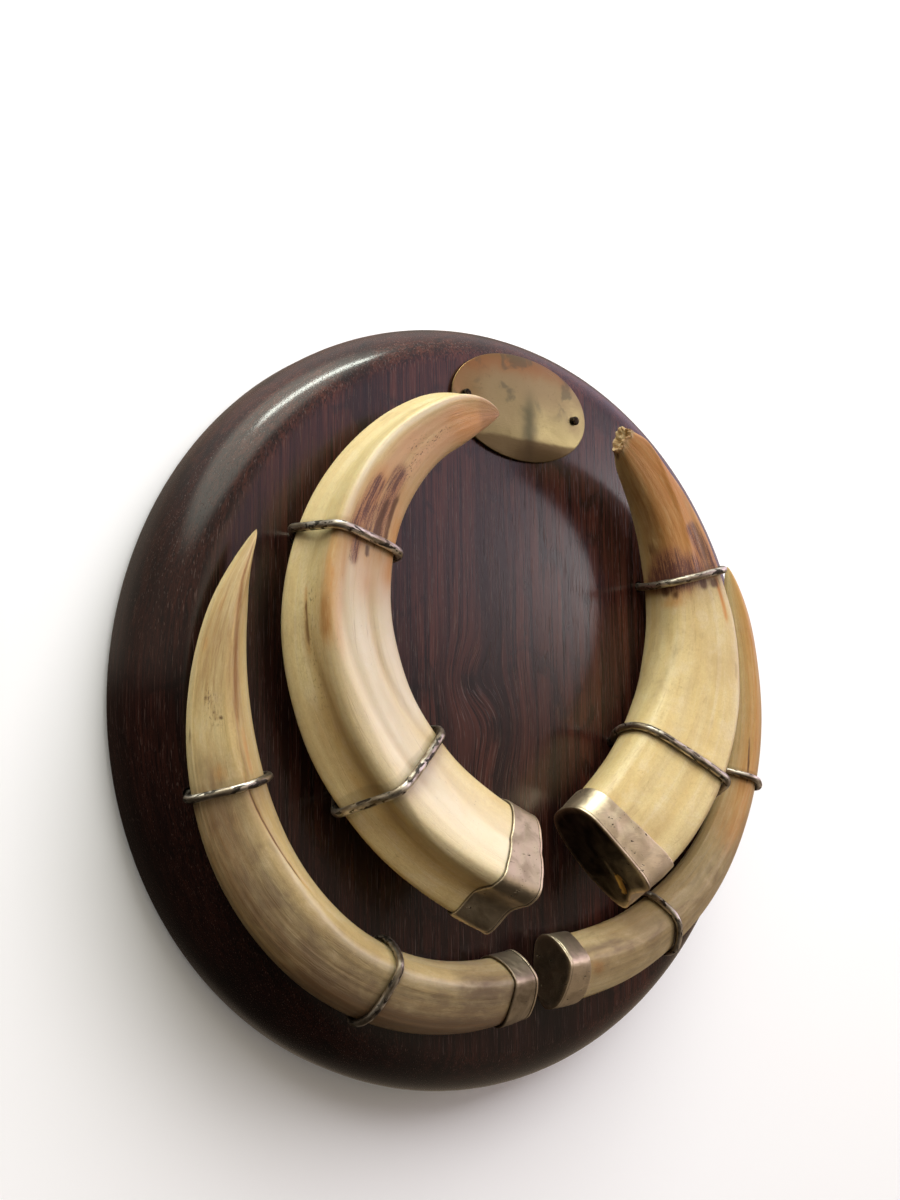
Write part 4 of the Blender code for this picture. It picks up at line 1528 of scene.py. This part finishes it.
@dataclass(frozen=True)
class Cap:
    """A silver cup over a tusk's root: a band of sheet with a plate soldered to its end."""

    tusk: Tusk
    outer: float = 0.92
    inner: float = 0.12
    end: float = 1.2
    plate_overhang: float = 0.08
    plate_thickness: float = 0.8
    band_rows: int = 26
    dent: float = 0.16
    around: int = 176
    soot: float = 0.0
    dull: float = 0.0
    solder: Optional[Pair] = None
    solder_width: float = 0.055
    solder_reach: float = 0.22
    solder_height: float = 2.6
    plate_buckle: float = 1.6
    plate_dome: float = 1.4
    dent_length: float = 12.0

    @property
    def node(self) -> str:
        """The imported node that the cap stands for."""
        return self.tusk.name.replace("tusk", "cap")

    def profile(self) -> np.ndarray:
        """The rows from the plate's middle over the rim to the inside.

        Returns:
            For each row its place along the tusk, how far it is grown, how far it is drawn
            in to its centre, how much of the rim's wave it follows and how far the nearest
            joint is.
        """
        start, band = -self.end, self.tusk.band
        lip = self.outer + self.plate_overhang
        seam = start + self.plate_thickness
        rows = [(start, lip - 0.3, size, 0.0, FAR) for size in END_PLATE_SIZES]
        rows += [
            (start + 0.02, lip - 0.2, 1.0, 0.0, 3.0),
            (start + 0.10, lip - 0.05, 1.0, 0.0, 2.0),
            (start + 0.24, lip, 1.0, 0.0, 1.0),
            (seam - 0.22, lip, 1.0, 0.0, 0.4),
            (seam - 0.06, lip - 0.05, 1.0, 0.0, 0.1),
            (seam, self.outer - 0.12, 1.0, 0.0, 0.0),
            (seam + 0.08, self.outer - 0.10, 1.0, 0.0, 0.1),
            (seam + 0.2, self.outer, 1.0, 0.0, 0.3),
        ]
        first = seam + 0.4
        for i in range(self.band_rows):
            share = i / (self.band_rows - 1)
            place = first + (band - 0.35 - first) * share
            rows.append((place, self.outer, 1.0, share**2, place - seam))
        rows += [
            (band - 0.15, self.outer - 0.03, 1.0, 1.0, 1.0),
            (band - 0.04, self.outer - 0.12, 1.0, 1.0, 0.3),
            (band, self.outer - 0.3, 1.0, 1.0, 0.1),
            (band, self.inner + 0.1, 1.0, 1.0, 0.0),
            (band - 0.1, self.inner, 1.0, 1.0, 0.0),
            (band / 2, self.inner, 1.0, 0.5, 0.0),
            (0.0, self.inner, 1.0, 0.0, 0.0),
            (-0.3, self.inner, 0.97, 0.0, 0.0),
            (-0.35, self.inner, 0.5, 0.0, 0.0),
            (-0.35, self.inner, 0.0, 0.0, 0.0),
        ]
        return np.array(rows)

    def blob(self, turns: np.ndarray, sizes: np.ndarray) -> np.ndarray:
        """The height of the solder that has spilt on the end plate, as rows by count around."""
        if not self.solder:
            return np.zeros((len(sizes), len(turns)))
        around, out = self.solder
        aside = (turns[None, :] - around + 0.5) % 1.0 - 0.5
        beyond = sizes[:, None] - out
        blob = np.exp(-(aside / self.solder_width) ** 2 - (beyond / self.solder_reach) ** 2)
        ripple = Waves(self.tusk.seed + 9, 10, 44, 0.0).height(turns[None, :] + sizes[:, None], 0.0)
        return blob * (1 + 0.5 * ripple)

    def build(self, material: bpy.types.Material) -> bpy.types.Object:
        """Models the cup and dresses it in the silver finish."""
        tusk = self.tusk
        turns = full_turn(self.around)
        along, grow, sizes, wave, joint = self.profile().T
        shares = np.maximum(along, 0.0) / tusk.length
        rings = np.stack([
            tusk.rings(np.array([share]), turns, size, fine=False)[0]
            for share, size in zip(shares, grow)
        ])
        dents = Waves(tusk.seed + 5, 2, 12, 3.0)
        dents = dents.height(turns[None, :], along[:, None] / self.dent_length)
        outside = smooth_step(self.inner, self.outer, grow)[:, None] * sizes[:, None]
        rings = grown(rings, dents * self.dent * outside * 0.5 - self.dent * 0.5 * outside)
        rings = drawn_in(rings, sizes)
        wander = (tusk.rim(turns) - tusk.band)[None, :] * wave[:, None]
        buckle = Waves(tusk.seed + 6, 1, 5, 0.0).height(turns[None, :], 0.0)
        plate = smooth_step(1.0, 0.6, sizes)[:, None] * smooth_step(0.0, 0.3, sizes)[:, None]
        on_plate = (along < -0.5)[:, None]
        forward = np.minimum(along, 0.0)[:, None] + wander
        swell = self.plate_buckle * buckle + self.plate_dome
        forward = forward + on_plate * plate * self.dent * swell
        blob = on_plate * self.blob(turns, sizes)
        forward = forward + blob * self.dent * self.solder_height
        surface = tusk.in_space(shares, rings, forward)
        flat_end = on_plate * smooth_step(1.0, 0.93, sizes)[:, None]
        paint = {
            "from_edge": np.broadcast_to(joint[:, None], forward.shape),
            # End plates painted dark as a reflection with tarnish, and bands dulled evenly.
            "soot": np.where(on_plate, flat_end * self.soot, np.full(forward.shape, self.dull)),
            "solder": blob,
        }
        piece = rolled_sheet(self.node, surface, np.linspace(0.0, 1.0, len(along)), paint)
        smooth(piece, 50)
        return dress(piece, self.node, material)


# ---------------------------------------------------------------- wires


class TieEnd(Enum):
    """Which of a tusk's two wires: the one near its root or the one near its tip."""

    ROOT = 0
    TIP = 1


@dataclass(frozen=True)
class Tie:
    """A wire bent over a tusk, with both legs through the wood and turned over at the back."""

    tusk: Tusk
    end: TieEnd
    hold: float = 0.03
    wrap: float = 38.0
    low: float = 1.3
    bed: float = 1.5
    bed_share: float = 0.6
    below_back: float = 0.5
    bend: float = 2.5
    tail: float = 7.0
    tail_gap: float = 0.6
    step: float = 0.35
    straight: float = 3.0
    over_steps: int = 85
    bend_steps: int = 8
    around: int = 20
    hammer: float = 0.060
    flat: float = 0.025
    grain_step: float = 9.0
    end_step: float = 5.0
    hole_clearance: float = 0.5
    groove_end_room: float = 1.5
    groove_depth: float = 3.8
    groove_width: float = 3.6

    @property
    def node(self) -> str:
        """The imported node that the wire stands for."""
        return f"{self.tusk.name.replace('tusk', 'tie')}_{self.end.name.lower()}"

    @property
    def share(self) -> float:
        """Where the wire crosses the tusk."""
        return self.tusk.ties[self.end.value]

    def over(self) -> np.ndarray:
        """The wire's middle line over the tusk, and round its sides as far as it stays tight.

        Returns:
            Pairs of (outwards, height), from the inner side over the front to the outer side.
        """
        tusk = self.tusk
        turns = full_turn(tusk.around)
        bed = self.bed * tusk.wire_radius / tusk.length
        shares = self.share + np.array([-bed, 0.0, bed]) * self.bed_share
        outline = tusk.rings(shares, turns).reshape(-1, 2)
        angle = np.radians(np.linspace(180 + self.wrap, -self.wrap, self.over_steps))
        ways = np.stack([np.cos(angle), np.sin(angle)], axis=-1)
        nearest = outline[np.argmax(ways @ outline.T, axis=1)]
        line = nearest + ways * (tusk.wire_radius + self.hold)
        return line[line[:, 1] > self.low]

    def holes(self) -> tuple[float, float]:
        """How far outwards from the tusk's middle line the two drilled holes are."""
        line = self.over()
        lean = math.tan(math.radians(self.wrap))
        return (float(line[0, 0] + lean * line[0, 1]), float(line[-1, 0] - lean * line[-1, 1]))

    def leg(self, over: np.ndarray, hole: float, inwards: int) -> np.ndarray:
        """One leg from the tusk's side through the wood, turned over along the back."""
        radius = self.tusk.wire_radius
        back = -PLAQUE_THICKNESS + self.below_back + radius
        turn = np.radians(np.linspace(0, 90, self.bend_steps))
        bend = np.stack([
            hole + inwards * self.bend * (1 - np.cos(turn)),
            back + self.bend * (1 - np.sin(turn)),
        ], axis=-1)
        inner, outer = self.holes()
        tail = min(self.tail, (outer - inner) / 2 - self.bend - self.tail_gap)
        last = (hole + inwards * (self.bend + tail), back)
        return np.concatenate([[over, (hole, 0.0), (hole, -self.straight)], bend, [last]])

    def route(self) -> np.ndarray:
        """The wire's middle line as evenly spaced (outwards, height) pairs."""
        over = self.over()
        inner, outer = self.holes()
        first = self.leg(over[0], inner, 1)[::-1]
        last = self.leg(over[-1], outer, -1)
        points = np.concatenate([first[:-1], over, last[1:]])
        run = np.concatenate([[0.0], np.cumsum(np.linalg.norm(np.diff(points, axis=0), axis=1))])
        count = int(run[-1] / self.step)
        even = np.linspace(0.0, run[-1], count)
        line = np.stack([np.interp(even, run, points[:, k]) for k in (0, 1)], axis=-1)
        for _ in range(3):
            line[1:-1] = (line[:-2] + 2 * line[1:-1] + line[2:]) / 4
        return line

    def build(self, material: bpy.types.Material) -> bpy.types.Object:
        """Models the wire and dresses it in the wire finish."""
        tusk = self.tusk
        line = self.route()
        tangent = np.gradient(line, axis=0)
        tangent /= np.linalg.norm(tangent, axis=1, keepdims=True)
        normal = np.stack([-tangent[:, 1], tangent[:, 0]], axis=-1)
        angle = 2 * math.pi * full_turn(self.around)
        rows = np.arange(len(line))
        hammered = Waves(tusk.seed + 7 + self.end.value, 1, 5, 30.0)
        dents = hammered.height(full_turn(self.around)[None, :], (rows / len(rows))[:, None])
        radius = tusk.wire_radius * (1 - self.hammer * (0.5 + 0.5 * dents) - self.flat)
        closing = (0.0, 0.75, 0.95)
        index = np.pad(rows, len(closing), mode="edge")
        size = np.array([*closing, *np.ones(len(rows)), *closing[::-1]])[:, None]
        out = radius[index] * size * np.cos(angle)[None, :] * (1 - self.flat)
        forward = radius[index] * size * np.sin(angle)[None, :] * (1 + self.flat)
        rings = line[index][:, None, :] + normal[index][:, None, :] * out[..., None]
        surface = tusk.in_space(np.full(len(index), self.share), rings, forward)
        along = index * self.step
        grain = np.stack(np.broadcast_arrays(
            tusk.wire_radius * np.cos(angle)[None, :] + self.grain_step * tusk.seed,
            tusk.wire_radius * np.sin(angle)[None, :] + self.end_step * self.end.value,
            along[:, None],
        ), axis=-1)
        # The side of the wire that faces the tusk, which the wire finish paints dark as shade.
        facing = np.sign(normal[len(line) // 2, 1])
        hidden = np.broadcast_to(0.5 - 0.5 * facing * np.cos(angle)[None, :], out.shape)
        paint = {"grain": grain, "hidden": hidden}
        piece = rolled_sheet(self.node, surface, along / along[-1], paint)
        smooth(piece, 50)
        return dress(piece, self.node, material)

    def cutters(self) -> list[bpy.types.Object]:
        """The two drilled holes and the groove between them at the back."""
        tusk = self.tusk
        ends = np.array([[(out, 0.0) for out in self.holes()]])
        places = tusk.in_space(np.array([self.share]), ends)[0]
        radius = tusk.wire_radius + self.hole_clearance
        made = [cylinder(radius, 3 * PLAQUE_THICKNESS, x, z) for x, _, z in places]
        reach = places[1] - places[0]
        length = float(np.linalg.norm(reach)) + 2 * (tusk.wire_radius + self.groove_end_room)
        middle = (places[0] + places[1]) / 2
        made.append(added(
            bpy.ops.mesh.primitive_cube_add,
            size=1.0, location=(middle[0] * MM, 0.0, middle[2] * MM),
            rotation=(0.0, -math.atan2(reach[2], reach[0]), 0.0),
            scale=(length * MM, 2 * self.groove_depth * MM, self.groove_width * MM),
        ))
        return made


# ---------------------------------------------------------------- plaque


@dataclass(frozen=True)
class Keyhole:
    """The undercut slot in the back that a wall screw's head slides into."""

    height: float = 62.0
    entry_radius: float = 5.0
    neck_width: float = 5.0
    rise: float = 12.0
    depth: float = 10.0
    lip: float = 3.5
    overcut: float = 1.0

    def slot(self, radius: float, rise: float, low: float, high: float) -> bpy.types.Object:
        """A cylinder drawn out upwards into a slot with round ends.

        Args:
            radius: Of its ends.
            rise: How far the upper end is above the lower one.
            low: Its lowest Y.
            high: Its highest Y.

        Returns:
            The cutter.
        """
        middle = (low + high) / 2
        cutter = cylinder(radius, high - low, 0.0, self.height, 48, middle)
        if rise:
            with editing(cutter, "VERT"):
                pick(cutter, "verts", lambda place: place.z > self.height - NEAR)
                bpy.ops.transform.translate(value=(0.0, 0.0, rise * MM))
        return cutter

    def cutters(self) -> list[bpy.types.Object]:
        """The entry hole, the undercut behind the lip and the neck."""
        return [
            self.slot(self.entry_radius, 0.0, -self.depth, self.overcut),
            self.slot(self.entry_radius, self.rise, -self.depth, -self.lip),
            self.slot(self.neck_width / 2, self.rise, -self.lip - self.overcut, self.overcut),
        ]


@dataclass(frozen=True)
class Plaque:
    """The turned hardwood disc with a wide rounded front edge and a small rounded back edge."""

    radius: float
    thickness: float
    round_width: float = 14.0
    round_depth: float = 19.5
    back_round: float = 2.5
    segments: int = 288
    round_steps: int = 18
    back_steps: int = 6
    face_insets: Pair = (0.6, 8.0)
    keyhole: Keyhole = Keyhole()

    def turned_disc(self) -> bpy.types.Object:
        """The disc before it is drilled.

        The front edge is bevelled while the disc is squashed, so that its round comes
        out deeper than it is wide when the disc is drawn out again.
        """
        squash = self.round_width / self.round_depth
        thin = self.thickness * squash
        disc = cylinder(self.radius, thin, 0.0, 0.0, self.segments, -thin / 2)
        with editing(disc, "EDGE"):
            pick(disc, "edges", lambda place: place.y < -thin + NEAR and self.near_rim(place))
            round_off(self.round_width, self.round_steps)
            bpy.ops.mesh.select_all(action="SELECT")
            bpy.ops.transform.resize(value=(1.0, 1 / squash, 1.0), center_override=(0.0, 0.0, 0.0))
        with editing(disc, "EDGE"):
            pick(disc, "edges", lambda place: place.y > -NEAR and self.near_rim(place))
            round_off(self.back_round, self.back_steps)
        for face_y in (-self.thickness, 0.0):
            with editing(disc, "FACE"):
                pick(disc, "faces", lambda place: place.length < self.thickness + 1
                     and abs(place.y - face_y) < NEAR)
                for width in self.face_insets:
                    bpy.ops.mesh.inset(thickness=width * MM)
        return disc

    def near_rim(self, place: Vector) -> bool:
        """Whether a place is on the outermost edge."""
        return math.hypot(place.x, place.z) > self.radius - 0.5

    def build(self, material: bpy.types.Material, cutters: Sequence[bpy.types.Object]
              ) -> bpy.types.Object:
        """Models the plaque, drills it and dresses it in the wood finish.

        Args:
            material: The wood.
            cutters: The holes and grooves of what is fastened to it.

        Returns:
            The finished piece.
        """
        disc = self.turned_disc()
        for cutter in [*cutters, *self.keyhole.cutters()]:
            cut(disc, cutter)
        smooth(disc, 30)
        return dress(disc, "plaque", material)


# ---------------------------------------------------------------- plate and pins


@dataclass(frozen=True)
class Nameplate:
    """The blank oval of thin brass, domed, and bent back over the plaque's rounded edge."""

    plaque: Plaque
    centre: Pair = (5.0, 88.5)
    half_width: float = 26.5
    half_height: float = 16.5
    tilt: float = -3.0
    thickness: float = 0.8
    dome: float = 1.2
    gap: float = 0.35
    segments: int = 128
    rings: int = 26
    ripple: float = 0.05
    ripple_lengths: Point = (3.1, 2.3, 7.0)
    bare_rim: float = 0.02
    inset_reach: float = 0.96
    edge_round: float = 0.18
    dimple: float = 0.22
    dimple_radius: float = 3.4

    def height(self, across: np.ndarray, up: np.ndarray) -> np.ndarray:
        """How far the sheet's middle layer stands over the face.

        Args:
            across: Distance from the plate's centre, as seen from the front.
            up: Distance from the plate's centre.

        Returns:
            The height in millimetres.
        """
        share = (across / self.half_width) ** 2 + (up / self.half_height) ** 2
        flat = self.plaque.radius - self.plaque.round_width
        reach = np.hypot(across + self.centre[0], up + self.centre[1])
        over = np.maximum(0.0, reach - flat) / self.plaque.round_width
        drop = self.plaque.round_depth * (1 - np.sqrt(np.maximum(0.0, 1 - over**2)))
        first, second, third = self.ripple_lengths
        ripple = self.ripple * (np.sin(across / first + 1) + np.sin(up / second + across / third))
        return self.gap + self.thickness / 2 + self.dome * (1 - share) + ripple * (1 - share) - drop

    def pressed(self, across: np.ndarray, up: np.ndarray, pins: Sequence["Pin"]) -> np.ndarray:
        """How far the sheet is pressed in round its pins."""
        total = np.zeros(across.shape)
        for pin in pins:
            place = pin.place()
            aside = np.hypot(across + self.centre[0] - place.x, up + self.centre[1] - place.z)
            total = total + self.dimple * np.exp(-(aside / self.dimple_radius) ** 2)
        return total

    def tilted(self, across: np.ndarray, up: np.ndarray) -> tuple[np.ndarray, np.ndarray]:
        """A place on the upright plate, turned to the plate's tilt."""
        tilt = math.radians(self.tilt)
        return (
            across * math.cos(tilt) - up * math.sin(tilt),
            across * math.sin(tilt) + up * math.cos(tilt),
        )

    def build(self, material: bpy.types.Material, pins: Sequence["Pin"]) -> bpy.types.Object:
        """Models the plate with its pin holes and dresses it in the brass finish.

        Args:
            material: The brass.
            pins: The pins that go through it.

        Returns:
            The finished piece.
        """
        plate = added(
            bpy.ops.mesh.primitive_circle_add,
            vertices=self.segments, radius=1.0, fill_type="NGON",
        )
        with editing(plate, "FACE"):
            bpy.ops.mesh.select_all(action="SELECT")
            bpy.ops.mesh.inset(thickness=self.bare_rim)
            for _ in range(self.rings):
                bpy.ops.mesh.inset(thickness=self.inset_reach / self.rings)
        mesh = plate.data
        flat = read(mesh.vertices, "co", 3).astype(float)
        across, up = self.tilted(flat[:, 0] * self.half_width, flat[:, 1] * self.half_height)
        placed = np.stack([
            across + self.centre[0],
            -self.plaque.thickness - self.height(across, up) + self.pressed(across, up, pins),
            up + self.centre[1],
        ], axis=-1) * MM
        mesh.vertices.foreach_set("co", placed.ravel())
        apply_modifier(plate, "SOLIDIFY", thickness=self.thickness * MM, offset=0.0)
        apply_modifier(
            plate, "BEVEL", width=self.edge_round * MM, segments=3, limit_method="ANGLE",
            angle_limit=math.radians(50),
        )
        for pin in pins:
            cut(plate, pin.hole(pin.plate_hole))
        with editing(plate, "FACE"):
            bpy.ops.mesh.select_all(action="SELECT")
            bpy.ops.mesh.normals_make_consistent(inside=False)
        smooth(plate, 35)
        return dress(plate, "nameplate", material)


@dataclass(frozen=True)
class Pin:
    """A small round-headed pin driven through the plate."""

    node: str
    head_radius: float = 1.4
    head_height: float = 0.7
    shank_radius: float = 0.7
    point: float = 1.5
    point_size: float = 0.1
    head_round: float = 0.55
    hole_radius: float = 1.0
    plate_hole: float = 60.0
    wood_hole: float = 20.0

    def place(self) -> Vector:
        """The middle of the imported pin, in millimetres."""
        low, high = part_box(self.node)
        return (low + high) / 2 / MM

    def hole(self, length: float) -> bpy.types.Object:
        """A cutter for the pin's hole, with its middle on the plaque's face."""
        place = self.place()
        return cylinder(self.hole_radius, length, place.x, place.z, middle=-PLAQUE_THICKNESS)

    def build(self, material: bpy.types.Material) -> bpy.types.Object:
        """Models the pin and dresses it in the dark finish."""
        low, high = (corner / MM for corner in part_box(self.node))
        middle = self.place()
        head_back = low.y + self.head_height
        head_middle = low.y + self.head_height / 2
        pin = cylinder(self.head_radius, self.head_height, middle.x, middle.z, 32, head_middle)
        centre = Vector((middle.x, head_back, middle.z)) * MM
        with editing(pin, "FACE"):
            pick(pin, "faces", lambda place: place.y > head_back - NEAR)
            bpy.ops.mesh.inset(thickness=(self.head_radius - self.shank_radius) * MM)
            for depth in (high.y - head_back - self.point, self.point):
                bpy.ops.mesh.extrude_region_move(
                    TRANSFORM_OT_translate={"value": (0.0, depth * MM, 0.0)}
                )
            bpy.ops.transform.resize(
                value=(self.point_size, 1.0, self.point_size), center_override=centre
            )
        with editing(pin, "EDGE"):
            rim = self.head_radius - 5 * NEAR
            pick(pin, "edges", lambda place: place.y < low.y + NEAR
                 and math.hypot(place.x - middle.x, place.z - middle.z) > rim)
            round_off(self.head_round, 5)
        smooth(pin, 50)
        return dress(pin, self.node, material)


# ---------------------------------------------------------------- studio


class Reach(Enum):
    """What a light falls on."""

    OBJECT = "EXCLUDE"
    STAGE = "INCLUDE"


def aimed(data: bpy.types.ID, place: Point, aim: Point, roll: float) -> bpy.types.Object:
    """Adds a light or a camera.

    Args:
        data: The light or the camera.
        place: Where it is, in metres.
        aim: What it looks at, in metres.
        roll: How far it is turned about its own view, in degrees.

    Returns:
        The object.
    """
    thing = bpy.data.objects.new(data.name, data)
    bpy.context.scene.collection.objects.link(thing)
    look = (Vector(aim) - Vector(place)).to_track_quat("-Z", "Y").to_matrix()
    thing.location = place
    thing.rotation_euler = (look @ Matrix.Rotation(math.radians(roll), 3, "Z")).to_euler()
    return thing


@dataclass(frozen=True)
class Softbox:
    """A large area light that looks at a point, in metres."""

    name: str
    place: Point
    aim: Point
    width: float
    height: float
    watts: float
    colour: Colour
    reach: Reach = Reach.OBJECT
    mirrored: bool = True
    turn: float = 0.0

    def build(self, stage: Sequence[bpy.types.Object]) -> None:
        """Adds the light.

        Args:
            stage: The wall and the floor, which the light falls on or leaves out.
        """
        light = bpy.data.lights.new(self.name, "AREA")
        light.shape = "RECTANGLE"
        light.size = self.width
        light.size_y = self.height
        light.energy = self.watts
        light.color = self.colour
        lamp = aimed(light, self.place, self.aim, self.turn)
        lamp.visible_glossy = self.mirrored
        lamp.visible_camera = False
        group = bpy.data.collections.new(f"{self.name}_reach")
        for plane in stage:
            group.objects.link(plane)
        for member in group.collection_objects:
            member.light_linking.link_state = self.reach.value
        lamp.light_linking.receiver_collection = group


@dataclass(frozen=True)
class Room:
    """The light that comes from all round: what shines, seen from the object, and where."""

    front_left: Colour = (0.34, 0.30, 0.25)
    right: Colour = (1.20, 0.96, 1.22)
    behind: Colour = (0.22, 0.19, 0.155)
    zenith: Colour = (0.60, 0.61, 0.59)
    ceiling: Colour = (2.30, 2.35, 2.05)
    ceiling_way: Point = (-0.320, -0.200, 0.926)
    window: Colour = (0.95, 0.80, 0.62)
    window_way: Point = (0.050, -0.996, 0.080)
    low_left: Colour = (0.030, 0.024, 0.018)
    low_right: Colour = (0.30, 0.24, 0.18)
    backdrop: Colour = (1.0, 1.0, 1.0)

    def build(self) -> None:
        """Writes the world."""
        world = bpy.data.worlds.new("room")
        bpy.context.scene.world = world
        tree = Tree(world)
        way = tree.node("ShaderNodeTexCoord", None, None, "Generated")
        across, depth, up = tree.parts(way)
        rightness = across.between(-0.1, 0.9)
        sky = tree.layered(
            self.front_left,
            (rightness, self.right),
            (depth.between(0.0, 0.6), self.behind),
            (up.between(0.50, 0.95), self.zenith),
            (self.towards(tree, way, self.ceiling_way, 0.80), self.ceiling),
        )
        room = tree.layered(
            tree.mix(rightness, self.low_left, self.low_right),
            (up.between(0.01, 0.17), sky),
            (self.towards(tree, way, self.window_way, 0.94), self.window),
            (tree.node("ShaderNodeLightPath", None, None, "Is Camera Ray"), self.backdrop),
        )
        light = tree.node("ShaderNodeBackground", None, {"Color": room, "Strength": 1.0})
        tree.node_end("ShaderNodeOutputWorld", light)

    @staticmethod
    def towards(tree: Tree, way: Signal, middle: Sequence[float], edge: float) -> Signal:
        """How far inside a soft round patch of the room a direction is.

        Args:
            tree: The world's tree.
            way: The direction.
            middle: The patch's middle, as a unit vector.
            edge: The cosine at the patch's edge.

        Returns:
            0 outside the patch and 1 well inside it.
        """
        inputs = {0: way, 1: middle}
        facing = tree.node("ShaderNodeVectorMath", {"operation": "DOT_PRODUCT"}, inputs, 1)
        return facing.between(edge, edge + (1.0 - edge) * 0.65)


@dataclass(frozen=True)
class Studio:
    """The pale wall behind the plaque, the pale floor below, soft lights and the camera."""

    camera_place: Point = (-0.23564, -0.31451, -0.01225)
    camera_aim: Point = (-0.02235, -0.02700, 0.02775)
    camera_roll: float = -0.758
    focal_length: float = 37.33
    sensor: float = 36.0
    wall_gap: float = 0.0004
    wall_size: float = 6.0
    floor_height: float = -1.45
    floor_size: float = 5.0
    lights: tuple[Softbox, ...] = (
        Softbox("tube", (-0.115, -0.185, 0.87), (0.0, 0.0, 0.0), 0.50, 0.09, 3.1, (0.93, 1.0, 0.90),
                turn=15.0),
        Softbox("window", (1.47, -1.32, 0.31), (0.0, 0.0, 0.0), 0.35, 0.30, 2.0, (1.0, 1.0, 0.96)),
        Softbox("front_fill", (0.24, -0.91, 0.34), (0.0, 0.0, 0.02), 0.7, 0.7, 2.3,
                (1.0, 0.98, 0.96), mirrored=False),
        Softbox("left_fill", (-0.52, -0.25, 0.69), (0.0, 0.0, 0.02), 0.6, 0.6, 1.8,
                (1.0, 0.97, 0.88), mirrored=False),
        Softbox("wash", (0.24, -0.85, 0.95), (-0.02, 0.0, 0.05), 1.2, 1.2, 22.5,
                (0.975, 0.985, 1.0), Reach.STAGE),
        Softbox("behind", (0.6, 1.5, 0.9), (0.0, 0.0, 0.0), 1.2, 1.2, 35.0, (1.0, 1.0, 1.0),
                mirrored=False),
    )

    def build(self) -> None:
        """Sets the stage, the light and the camera."""
        bpy.context.scene.view_settings.view_transform = "Standard"
        stage = [
            self.plane("wall", self.wall_size, (0.0, self.wall_gap, 0.0), math.pi / 2, True),
            self.plane("floor", self.floor_size, (0.0, 0.0, self.floor_height), 0.0, False),
        ]
        for light in self.lights:
            light.build(stage)
        Room().build()
        self.add_camera()

    def plane(self, name: str, size: float, place: Point, tip: float,
              from_behind: bool) -> bpy.types.Object:
        """Adds a stage plane, which is seen and lit but lights and mirrors nothing itself.

        Args:
            name: The object's name.
            size: Its side, in metres.
            place: Its middle, in metres.
            tip: How far it is turned about X, in radians.
            from_behind: Whether it can be looked through from its back.

        Returns:
            The plane.
        """
        plane = added(
            bpy.ops.mesh.primitive_plane_add, size=size, location=place, rotation=(tip, 0.0, 0.0)
        )
        plane.name = name
        plane.visible_glossy = False
        plane.visible_diffuse = False
        plane.visible_shadow = False
        plane.data.materials.append(StagePaint().material(f"{name}_paint", from_behind))
        return plane

    def add_camera(self) -> None:
        """Adds the camera where the photograph was taken from."""
        lens = bpy.data.cameras.new("camera")
        lens.lens = self.focal_length
        lens.sensor_width = self.sensor
        bpy.context.scene.camera = aimed(
            lens, self.camera_place, self.camera_aim, self.camera_roll
        )


# ---------------------------------------------------------------- assembly


def main() -> None:
    """Builds every piece in order and reports it."""
    Studio().build()
    low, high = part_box("plaque")
    plaque = Plaque(radius=(high.x - low.x) / 2 / MM, thickness=PLAQUE_THICKNESS)
    tusks = [upper_left(), upper_right(), lower_left(), lower_right()]
    ties = [Tie(tusk, end) for tusk in tusks for end in TieEnd]
    # How dark each end plate is painted, as tarnish and a dark reflection, and how dulled each band
    # is.
    caps = [
        Cap(tusks[0], soot=0.3, dull=0.32),
        Cap(tusks[1], soot=0.80, solder=(0.66, 0.66)),
        Cap(tusks[2], soot=0.4, dull=0.45),
        Cap(tusks[3], soot=0.50, dull=0.20),
    ]
    pins = [Pin("nameplate_pin_left"), Pin("nameplate_pin_right")]
    finishes = (Ivory(), AgedSilver(), TieSilver())
    for group, finish in zip((tusks, caps, ties), finishes):
        material = finish.material()
        for piece in group:
            piece.build(material)
    Nameplate(plaque).build(PlateBrass().material(), pins)
    dark = DarkPin().material()
    for pin in pins:
        pin.build(dark)
    cutters = [cutter for tie in ties for cutter in tie.cutters()]
    cutters += [pin.hole(pin.wood_hole) for pin in pins]
    plaque.build(Hardwood().material(), cutters)


if __name__ == "__main__":
    logging.basicConfig(level=logging.INFO, format="%(message)s")
    main()
